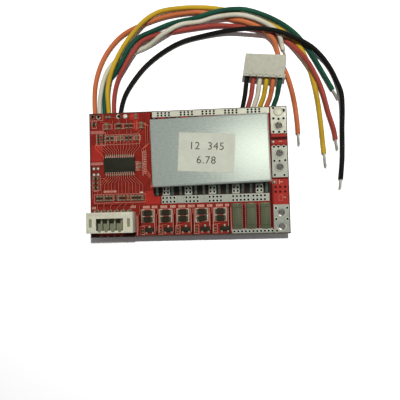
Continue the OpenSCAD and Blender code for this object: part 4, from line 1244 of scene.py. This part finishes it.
@dataclass
class Silkscreen:
    """Screen-printed frames, dashes and polarity signs."""

    plan: BoardPlan
    finishes: Finishes
    line: float = 0.16
    height: float = 0.035
    channels: tuple[float, ...] = (17.5, 23.01, 28.23, 33.89, 39.45)
    chip_margin: float = 0.32
    codes: tuple[float, ...] = (17.3, 19.8, 22.65, 25.4, 28.1, 30.9, 33.8, 36.5, 39.35, 41.7)
    row_lines: tuple[float, ...] = (5.0, 6.25, 7.6, 8.3, 9.55, 10.75, 11.95, 13.2, 15.5)
    front_lines: tuple[float, ...] = (2.1, 3.1, 4.05, 5.0, 6.0, 7.0, 8.6, 9.6, 10.6, 11.4, 12.5,
                                      13.4, 14.4, 15.3)

    def frames(self) -> list[list[Vector]]:
        """Return every closed printed frame."""
        frames = [
            frame_path(self.plan, *corners)
            for corners in ((0.25, 0.2, 4.2, 2.2), (1.2, 24.95, 16.9, 27.55),
                            (14.0, 15.2, 15.2, 17.9), (0.6, 19.2, 3.1, 23.6),
                            (2.1, 6.75, 4.95, 9.95), (4.95, 6.75, 15.5, 9.75),
                            (56.9, 26.55, 58.0, 28.2), (55.15, 22.05, 56.35, 23.25))
        ]
        for x in self.channels:
            frames.append(frame_path(self.plan, x - 1.95, 29.85, x + 1.95, 33.85))
            frames.append(frame_path(self.plan, x - 1.95, 31.85, x + 1.95, 33.85))
            frames.append(frame_path(self.plan, x - 2.35, 34.9, x - 1.0, 37.4))
        for node in ("chip_resistors", "chip_capacitors"):
            for low, high in solids(node):
                tall = high.y - low.y > high.x - low.x
                grow = self.chip_margin * MM
                ends = 0.75 * MM if tall else grow
                sides = grow if tall else 0.75 * MM
                left, right = low.x - sides, high.x + sides
                back, front = high.y + ends, low.y - ends
                if self.plan.high.y - front > 24.5 * MM or high.y > self.plan.high.y - 2.2 * MM:
                    continue
                frames.append([Vector((x, y, self.plan.high.z)) for x, y in
                               ((left, back), (right, back), (right, front), (left, front))])
        return frames

    def rows(self) -> list[tuple[float, float, float, float, float, float, int]]:
        """Return rows of dashes: middle of the first, step, dash size and count."""
        rows = [
            (17.05, 12.1, 0.0, 0.52, 0.9, 0.18, 14),     # ladder beside the controller
            (14.6, 15.4, 0.0, 0.42, 0.7, 0.16, 6),
            (4.3, 24.1, 0.45, 0.0, 0.3, 0.62, 9),        # behind the front row
            (0.65, 29.0, 0.42, 0.0, 0.22, 0.8, 3),       # beside the first pin
            (12.5, 28.9, 0.42, 0.0, 0.22, 0.8, 4),       # beside the last pin
        ]
        for x, count in zip(self.codes, (5, 4, 5, 4, 5, 5, 5, 4, 5, 3)):
            rows.append((x - 0.2 * count, 29.15, 0.42, 0.0, 0.3, 0.78, count))
        return rows

    def dash(self, x: float, y: float, wide: float, tall: float) -> Placing:
        """Return one printed dash, placed by its middle."""
        return self.plan.placing(x, y, (wide, tall, 2 * self.height))

    def build(self) -> None:
        """Print frames, dashes, blocks and signs."""
        frames = ribbons(self.frames(), self.line, self.height, "printed_frames", closed=True)
        self.finishes.coat(frames, "printed_ink", "board_mask")
        dashes = []
        for x, y, dx, dy, wide, tall, count in self.rows():
            for k in range(count):
                dashes.append(self.dash(x + k * dx, y + k * dy, wide, tall))
        for x, y, wide, tall in ((14.25, 34.7, 0.16, 6.2), (16.35, 15.8, 0.14, 7.4),
                                 (57.9, 10.6, 1.0, 0.2), (57.2, 22.7, 0.2, 1.2),
                                 (57.75, 22.7, 0.9, 0.2), (58.6, 27.3, 0.7, 0.22)):
            dashes.append(self.dash(x, y, wide, tall))
        # Lines between the small chips, and beside the shunts and the channels.
        for x in self.row_lines:
            dashes.append(self.dash(x, 8.05, 0.13, 2.1))
        for x in self.front_lines:
            dashes.append(self.dash(x, 26.1, 0.13, 2.0))
        for x in (19.62, 20.95, 25.15, 26.3, 30.6, 31.6, 36.15, 37.3, 41.75, 42.6):
            dashes.append(self.dash(x, 33.4, 0.13, 7.0))
        self.finishes.coat(scatter(slab_shape(0.02), dashes, "printed_marks"),
                           "printed_ink", "board_mask")
        # Thin print: the band behind the left chips, the block behind the lands.
        thin = [self.dash(0.5 + 0.42 * k, 5.85, 0.34, 0.95)
                for k in range(10)]
        thin.append(self.dash(2.2, 15.5, 3.8, 0.85))
        for x in (46.0, 46.85, 50.05, 50.95, 54.2):
            thin += [self.dash(x, 28.9 + 0.55 * k, 0.2, 0.38)
                     for k in range(14)]
        self.finishes.coat(scatter(slab_shape(0.02), thin, "worn_marks"),
                           "thin_ink", "board_mask")


@dataclass
class Vias:
    """Plated holes: a raised rim of solder round a dark eye."""

    plan: BoardPlan
    finishes: Finishes
    radius: float = 0.37
    lift: float = 0.11

    def both_faces(self) -> list[tuple[float, float, float]]:
        """Return left, back and radius of each via seen on both faces."""
        small = self.radius
        vias = [(56.0, 0.55, small), (57.6, 0.5, small), (59.0, 1.4, small * 1.4),
                (56.0, 3.7, small), (57.5, 3.9, small), (59.0, 3.8, small),
                (55.9, 7.7, small), (57.6, 7.8, small), (59.2, 7.8, small),
                (55.9, 12.2, small), (57.2, 12.2, small), (58.8, 12.2, small),
                (55.9, 16.4, small), (57.4, 16.5, small), (59.1, 16.3, small),
                (55.9, 20.6, small), (58.7, 20.7, small), (55.9, 30.4, small),
                (59.2, 30.4, small), (55.9, 33.7, small), (59.2, 33.7, small),
                (56.0, 37.1, small)]
        # Groups under the middle leads, and on the strip in front of them.
        for x in (22.8, 29.5, 36.7, 43.7, 50.7):
            vias += [(x + dx, y, small) for dx in (0.0, 1.1) for y in (23.9, 25.0)]
        for first, count in ((22.4, 4), (29.4, 4), (36.4, 4), (43.4, 5), (49.4, 4)):
            vias += [(first + 1.12 * k, y, small) for k in range(count) for y in (26.55, 27.7)]
        # Rows on the shunts' landing strip and on the supply strip.
        vias += [(43.5 + 1.12 * k, 37.05, small) for k in range(11)]
        for first in (21.3, 28.3, 34.9, 41.7, 48.5):
            vias += [(first + 1.13 * k, y, small * 0.9) for k in range(4) for y in (0.7, 1.45)]
        return vias

    def underneath(self) -> list[tuple[float, float, float]]:
        """Return the vias that show only on the underside."""
        small = self.radius
        vias = [(x + dx, y, small) for x in (23.1, 30.0, 36.5, 43.5, 50.2)
                for dx in (0.0, 1.25) for y in (3.3, 4.3)]
        for y, first, count in ((12.3, 51.0, 6), (13.7, 18.8, 25), (15.2, 18.8, 23)):
            vias += [(first + 1.4 * k, y, small) for k in range(count)]
        vias += [(18.9 + 1.36 * k, 20.4, small) for k in range(26)]
        for x in (19.5, 26.5, 33.5, 40.4, 47.5, 54.5):
            vias += [(x, 16.6 + 1.3 * k, small) for k in range(3)]
        for y in (33.0, 33.95):
            vias += [(43.7 + 1.12 * k, y, small) for k in range(11)]
        return vias

    def lay(self, vias: list[tuple[float, float, float]], face: Face, tag: str) -> None:
        """Set the rims and eyes of some vias on a face."""
        rims = [self.plan.placing(x, y, (r * 1.12, r * 1.12, r * 0.45), self.lift, 0, face)
                for x, y, r in vias]
        eyes = [self.plan.placing(x, y, (r * 0.95, r * 0.95, 0.04), self.lift, 0, face)
                for x, y, r in vias]
        self.finishes.coat(scatter(rim_shape(0.24, 8, 3), rims, f"via_rims_{tag}"),
                           "hole_rim_solder", "tinned_copper")
        self.finishes.coat(scatter(disc_shape(8), eyes, f"via_eyes_{tag}"),
                           "hole_shadow", "tinned_copper")

    def masked(self) -> None:
        """Set the six vias that the mask covers, as dimples."""
        eyes = [self.plan.placing(x, y, (0.38, 0.38, 0.08), 0.0, 0, face)
                for x in (56.0, 57.35, 58.8) for y in (24.2, 25.6) for face in Face]
        self.finishes.coat(scatter(disc_shape(10), eyes, "via_dimples"),
                           "masked_gap_and_painted_shade", "board_mask")

    def build(self) -> None:
        """Build the vias of both faces."""
        self.lay(self.both_faces(), Face.TOP, "top")
        self.lay(self.both_faces() + self.underneath(), Face.UNDER, "under")
        self.masked()


@dataclass
class WireHoles:
    """Plated wire holes: barrel, rim, and an uneven crescent of solder."""

    plan: BoardPlan
    finishes: Finishes
    radius: float = 1.1
    across: float = 57.45
    open_at: tuple[float, ...] = (5.825, 14.125, 18.275, 31.775, 35.925)
    filled_at: float = 1.675

    def barrel(self) -> bpy.types.Object:
        """Model the plated wall of one hole, 1 high and 1 in radius."""
        deselect()
        bpy.ops.mesh.primitive_cylinder_add(vertices=40, radius=1, depth=1, end_fill_type="NOTHING")
        obj = bpy.context.object
        wall = obj.modifiers.new("wall", "SOLIDIFY")
        wall.thickness = 0.06
        wall.offset = -1
        bpy.ops.object.modifier_apply(modifier=wall.name)
        return obj

    def build(self) -> None:
        """Build barrels, rims and crescents, and the filled hole's dome."""
        depth = (self.plan.high.z - self.plan.low.z) / MM + 0.2
        middle = -depth / 2 + 0.1
        walls = [self.plan.placing(self.across, y, (self.radius, self.radius, depth), middle)
                 for y in self.open_at]
        self.finishes.coat(scatter(self.barrel(), walls, "hole_barrels"),
                           "bright_solder", "bright_solder")
        rims = []
        for face in Face:
            rims += [self.plan.placing(self.across, y, (1.22, 1.22, 0.6), 0.1, 0, face)
                     for y in self.open_at]
        self.finishes.coat(scatter(rim_shape(0.14, 32, 6), rims, "hole_rims"),
                           "levelled_solder", "bright_solder")
        # Solder that ran round one side of each hole, and round the link holes.
        runs = [(self.across, y, 1.32, start, 0.2) for y, start in
                zip(self.open_at, (150, 200, 120, 170, 190))]
        runs += [(9.2, 1.2, 0.62, 80, 0.2), (2.9, 1.2, 0.58, 150, 0.12)]
        crescents = []
        for x, y, radius, start, thick in runs:
            arc = [math.radians(start + 20 * k) for k in range(11)]
            points = [self.plan.at(x + radius * math.cos(a), y - radius * math.sin(a), 0.1)
                      for a in arc]
            crescents.append(tube(points, thick, "crescent", 2))
        self.finishes.coat(joined(crescents, "solder_crescents"), "pooled_solder", "bright_solder")
        # The filled hole from both faces, the full link hole, and drops on the lands.
        drops = [self.plan.placing(self.across, self.filled_at, (1.5, 1.45, 0.3), 0.08),
                 self.plan.placing(self.across, self.filled_at, (1.4, 1.4, 0.45), 0.08, 0,
                                   Face.UNDER)]
        drops = scatter(dome_shape(24), drops, "hole_solder")
        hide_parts("terminal_solder")
        self.finishes.coat(drops, "pooled_solder", "bright_solder")
        beads = [self.plan.placing(x, y, (r, r, 0.55 * r)) for x, y, r in
                 ((11.2, 1.2, 0.72), (1.2, 17.0, 0.4), (2.5, 17.0, 0.4), (1.2, 18.85, 0.4),
                  (2.5, 18.85, 0.4), (55.75, 22.65, 0.3), (55.75, 10.7, 0.35))]
        beads.append(self.plan.placing(57.45, 16.9, (0.25, 0.25, 0.3), 0.08))
        self.finishes.coat(scatter(dome_shape(14), beads, "solder_beads"),
                           "bright_solder", "bright_solder")


@dataclass
class BareCopper:
    """Bare tinned areas with the solder that pooled on them, and the small lands."""

    plan: BoardPlan
    finishes: Finishes
    land_h: float = 0.06
    chip_grow: float = 0.16
    foot_grow: float = 0.2
    channel_grow: float = 0.34

    def build(self) -> None:
        """Dress the tinned areas and add the lands round each part."""
        for node in ("terminal_pads", "bus_pads", "underside_copper"):
            self.finishes.dress(NODES[node], "levelled_solder")
        self.finishes.dress(NODES["small_lands"], "stained_land")
        self.finishes.dress(NODES["pcb"], "red_solder_mask")
        lands = []
        pale = []
        for node, grow, where in (("chip_terminals", self.chip_grow, lands),
                                  ("transistor_leads", self.foot_grow, lands),
                                  ("balance_terminals", self.channel_grow, pale)):
            for low, high in solids(node):
                size = (high - low) / MM
                mid = (low + high) / 2
                where.append(Placing((mid.x, mid.y, self.plan.high.z),
                                     ((size.x + grow) * MM, (size.y + grow) * MM,
                                      2 * self.land_h * MM)))
        self.finishes.coat(scatter(slab_shape(0.08), pale, "channel_lands"),
                           "pooled_solder", "tinned_copper")
        for low, high in solids("current_shunts"):
            for y in (low.y + 0.3 * MM, high.y - 0.3 * MM):
                lands.append(Placing(((low.x + high.x) / 2, y, self.plan.high.z),
                                     (3.1 * MM, 1.2 * MM, 0.14 * MM)))
        groups = [self.plan.placing(x + 0.55, 24.4, (2.2, 2.7, 0.12))
                  for x in (22.8, 29.5, 36.7, 43.7, 50.7)]
        self.finishes.coat(scatter(slab_shape(0.04), groups, "group_lands"),
                           "levelled_solder", "tinned_copper")
        pools = [self.plan.placing((x0 + x1) / 2, (y0 + y1) / 2, (x1 - x0, y1 - y0, 0.18))
                 for x0, y0, x1, y1 in ((19.6, 0.35, 54.5, 1.9), (42.8, 36.5, 54.2, 37.5))]
        self.finishes.coat(scatter(slab_shape(0.03), pools, "pooled_areas"),
                           "pooled_solder", "tinned_copper")
        # Bare laminate along the scored and snapped edges.
        wide, deep = ((self.plan.high - self.plan.low) / MM).xy
        edges = []
        for face in Face:
            for x, y, sx, sy in ((wide / 2, 0.13, wide, 0.26), (wide / 2, deep - 0.2, wide, 0.4),
                                 (0.13, deep / 2, 0.26, deep), (wide - 0.13, deep / 2, 0.26, deep)):
                edges.append(self.plan.placing(x, y, (sx, sy, 0.2), 0, 0, face))
        self.finishes.coat(scatter(slab_shape(0.0), edges, "scored_edges"),
                           "scored_laminate", "board_mask")
        # Almost-black slabs laid round the joints of the power legs.
        dark_leg_slabs = []
        for low, high in solids("mosfet_leads"):
            if high.y - low.y < 2.0 * MM:
                continue
            dark_leg_slabs.append(Placing(((low.x + high.x) / 2, (low.y + high.y) / 2, self.plan.high.z),
                                   (2.15 * MM, (high.y - low.y) * 0.98, 0.1 * MM)))
        self.finishes.coat(scatter(slab_shape(0.06), dark_leg_slabs, "black_leg_slabs"),
                           "black_leg_coat", "tinned_copper")
        self.finishes.coat(scatter(slab_shape(0.08), lands, "bare_lands"),
                           "stained_land", "tinned_copper")


# ---- Parts on the board -------------------------------------------------------------------
@dataclass
class SolderJoints:
    """Fillets of solder at the parts' metal ends and feet."""

    plan: BoardPlan
    finishes: Finishes

    def joint(self, low: Vector, high: Vector, y: float,
              size: tuple[float, float, float]) -> Placing:
        """Return a dome, sized in millimetres, in the middle of a part at a depth."""
        return Placing(((low.x + high.x) / 2, y, self.plan.high.z),
                       tuple(side * MM for side in size))

    def dull(self) -> list[Placing]:
        """Return the reflowed joints of the controller, chips and channels."""
        joints = []
        for low, high in solids("controller_leads"):
            y = low.y + 0.2 * MM if low.y < 0 else high.y - 0.2 * MM
            joints.append(self.joint(low, high, y, (0.19, 0.42, 0.16)))
        for low, high in solids("transistor_leads"):
            if low.y <= -15.9 * MM:
                joints.append(self.joint(low, high, low.y + 0.2 * MM, (0.3, 0.3, 0.18)))
        for low, high in solids("chip_terminals"):
            size = (high - low) / MM
            joints.append(self.joint(low, high, (low.y + high.y) / 2,
                                     (size.x * 0.68, size.y * 0.68, size.z * 0.6)))
        for low, high in solids("current_shunts"):
            for y in (low.y + 0.1 * MM, high.y - 0.1 * MM):
                joints.append(self.joint(low, high, y, (1.5, 0.5, 0.3)))
        return joints

    def bright(self) -> list[Placing]:
        """Return the hand-touched joints: power legs' tips and channel drains."""
        joints = []
        for low, high in solids("mosfet_leads"):
            if high.y - low.y > 2.0 * MM and low.y < -2 * MM:
                joints.append(self.joint(low, high, low.y + 0.3 * MM, (0.36, 0.3, 0.4)))
        for low, high in solids("transistor_leads"):
            if low.y > -15.9 * MM:
                joints.append(self.joint(low, high, high.y + 0.15 * MM, (0.5, 0.55, 0.6)))
        joints.append(self.plan.placing(15.8, 24.65, (0.6, 0.35, 0.45)))
        return joints

    def build(self) -> None:
        """Build the fillets, and bumps where the header's pins come through."""
        for placings, name, finish in ((self.dull(), "reflowed_joints", "reflowed_solder"),
                                       (self.bright(), "bright_joints", "bright_solder")):
            joints = scatter(dome_shape(10), placings, name)
            self.finishes.coat(joints, finish, "bright_solder")
        bumps = [self.joint(low, high, high.y - 0.25 * MM, (0.6, 0.6, 0.3))
                 for low, high in solids("header_pins")]
        self.finishes.coat(scatter(dome_shape(16), bumps, "pin_solder_top"),
                           "reflowed_solder", "bright_solder")
        self.finishes.dress(NODES["header_solder"], "bright_solder")


@dataclass
class SwitchingTransistors:
    """Ten power transistors under the plate."""

    finishes: Finishes
    rounding: float = 0.12

    def build(self) -> None:
        """Round the bodies, and dress tabs and leads."""
        self.finishes.coat(softened("mosfet_bodies", "transistor_mouldings", self.rounding, 1),
                           "moulded_epoxy", "black_mould")
        self.finishes.coat(softened("mosfet_leads", "transistor_legs", 0.06, 1),
                           "fluxed_leg", "tinned_lead")
        self.finishes.dress(NODES["mosfet_tabs"], "tinned_lead")


@dataclass
class Heatsink:
    """Aluminium plate, bonded on a soft sheet, with a label of plain numbers."""

    finishes: Finishes
    turn: float = math.radians(1.15 - 4.75)
    print_size: float = 3.1
    print_h: float = 0.015
    lines: tuple[tuple[str, float], ...] = (("12  345", 1.75), ("6.78", -2.3))

    def numbers(self, at: Vector) -> bpy.types.Object:
        """Print two lines of plain numbers on the label.

        Args:
            at: Middle of the label's upper face.

        Returns:
            The print, as one mesh.
        """
        rows = []
        for text, y in self.lines:
            deselect()
            bpy.ops.object.text_add()
            row = bpy.context.object
            row.data.body = text
            row.data.size = self.print_size * MM
            row.data.align_x = "CENTER"
            row.data.align_y = "CENTER"
            row.data.extrude = self.print_h * MM / 2
            row.data.space_character = 1.08
            row.data.resolution_u = 3
            bpy.ops.object.convert(target="MESH")
            row = bpy.context.object
            row.rotation_euler.z = self.turn
            row.location = at + Matrix.Rotation(self.turn, 3, "Z") @ Vector((0, y * MM, 0))
            rows.append(settle(row, "print_row"))
        only(rows[0])
        for row in rows:
            row.select_set(True)
        bpy.ops.object.join()
        return settle(rows[0], "label_numbers")

    def build(self) -> None:
        """Round the plate and lay sheet, label and numbers."""
        plate = softened("heatsink", "cooling_plate", 0.12, 2, 1)
        # The rounded edges get a lighter finish as a painted highlight.
        rims = [face.index for face in plate.data.polygons if face.material_index == 1]
        self.finishes.dress(plate, "rubbed_aluminium")
        self.finishes.second(plate, rims, "painted_edge_highlight")
        finished(plate, 30)
        self.finishes.dress(NODES["thermal_sheet"], "bonding_sheet")
        self.finishes.dress(NODES["rating_label"], "label_film")
        low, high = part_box("rating_label")
        middle = (low + high) / 2
        middle.z = high.z + 0.5 * self.print_h * MM
        numbers = self.numbers(middle)
        self.finishes.coat(numbers, "label_print", "label_film")


@dataclass
class SmallParts:
    """Controller, balancing channels, shunts and small chips."""

    finishes: Finishes

    def build(self) -> None:
        """Round what shows its edges and dress the rest."""
        for node, name, width, finish, slot in (
            ("controller_chip", "controller_moulding", 0.07, "moulded_epoxy", "chip_black"),
            ("balance_resistors", "balance_bodies", 0.06, "resistor_glaze", "resistor_black"),
            ("balance_transistors", "transistor_bodies", 0.07, "moulded_epoxy", "black_mould"),
            ("current_shunts", "shunt_strips", 0.08, "rolled_alloy", "shunt_alloy"),
            ("chip_resistors", "resistor_bodies", 0.03, "resistor_glaze", "resistor_black"),
            ("chip_capacitors", "capacitor_bodies", 0.04, "sintered_ceramic", "capacitor_tan"),
            ("chip_terminals", "chip_metal_ends", 0.04, "reflowed_solder", "bright_solder"),
            ("balance_terminals", "balance_metal_ends", 0.05, "baked_end", "bright_solder"),
        ):
            piece = softened(node, name, width, 1)
            self.finishes.coat(piece, finish, slot)
        for node in ("controller_leads", "transistor_leads"):
            self.finishes.dress(NODES[node], "tinned_lead")


@dataclass
class BalanceHeader:
    """Side-entry header with its six bent pins."""

    finishes: Finishes
    rounding: float = 0.12
    roof: float = 0.5
    notch_x: float = 1.225
    notch_y: float = 2.95
    notch_deep: float = 0.33
    web_size: tuple[float, float, float] = (0.83, 2.38, 0.15)
    shell_skin: tuple[float, float, float] = (0.6, 0.3, 0.3)

    def build(self) -> None:
        """Round the housing and dress the pins."""
        low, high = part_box("header_housing")
        shell = softened("header_housing", "header_shell", self.rounding)
        self.finishes.dress(shell, "ivory_nylon")
        # Faces inside the housing get a darker nylon as painted shade.
        inset = Vector(self.shell_skin) * MM
        inner = [face.index for face in shell.data.polygons
                 if all(low[i] + inset[i] < face.center[i] < high[i] - inset[i] for i in (0, 1, 2))
                 and face.center.z < high.z - self.roof * MM]
        self.finishes.second(shell, inner, "painted_shade_nylon")
        finished(shell)
        self.finishes.coat(softened("header_pins", "header_contacts", 0.04, 1),
                           "dull_pin", "tinned_lead")
        # Thin webs in the keying notches, finished in painted-shade nylon.
        webs = [Placing((x, low.y + self.notch_y * MM, high.z - self.notch_deep * MM),
                        tuple(side * MM for side in self.web_size))
                for x in (low.x + self.notch_x * MM, high.x - self.notch_x * MM)]
        self.finishes.coat(scatter(slab_shape(0.02), webs, "notch_shade_webs"),
                           "painted_shade_nylon", "ivory_nylon")


def main() -> None:
    """Build and dress the whole board in order."""
    logging.basicConfig(level=logging.INFO, format="%(name)s %(message)s")
    deselect()
    finishes = Finishes()
    Studio().build()
    BalanceLead(finishes).build()
    plan = BoardPlan(*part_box("pcb"))
    for part in (
        BareCopper(plan, finishes),
        MaskedAreas(plan, finishes),
        Tracks(plan, finishes),
        Silkscreen(plan, finishes),
        Vias(plan, finishes),
        WireHoles(plan, finishes),
        SolderJoints(plan, finishes),
        SwitchingTransistors(finishes),
        Heatsink(finishes),
        SmallParts(finishes),
        BalanceHeader(finishes),
    ):
        part.build()
        LOG.info("built %s", type(part).__name__)


if __name__ == "__main__":
    main()
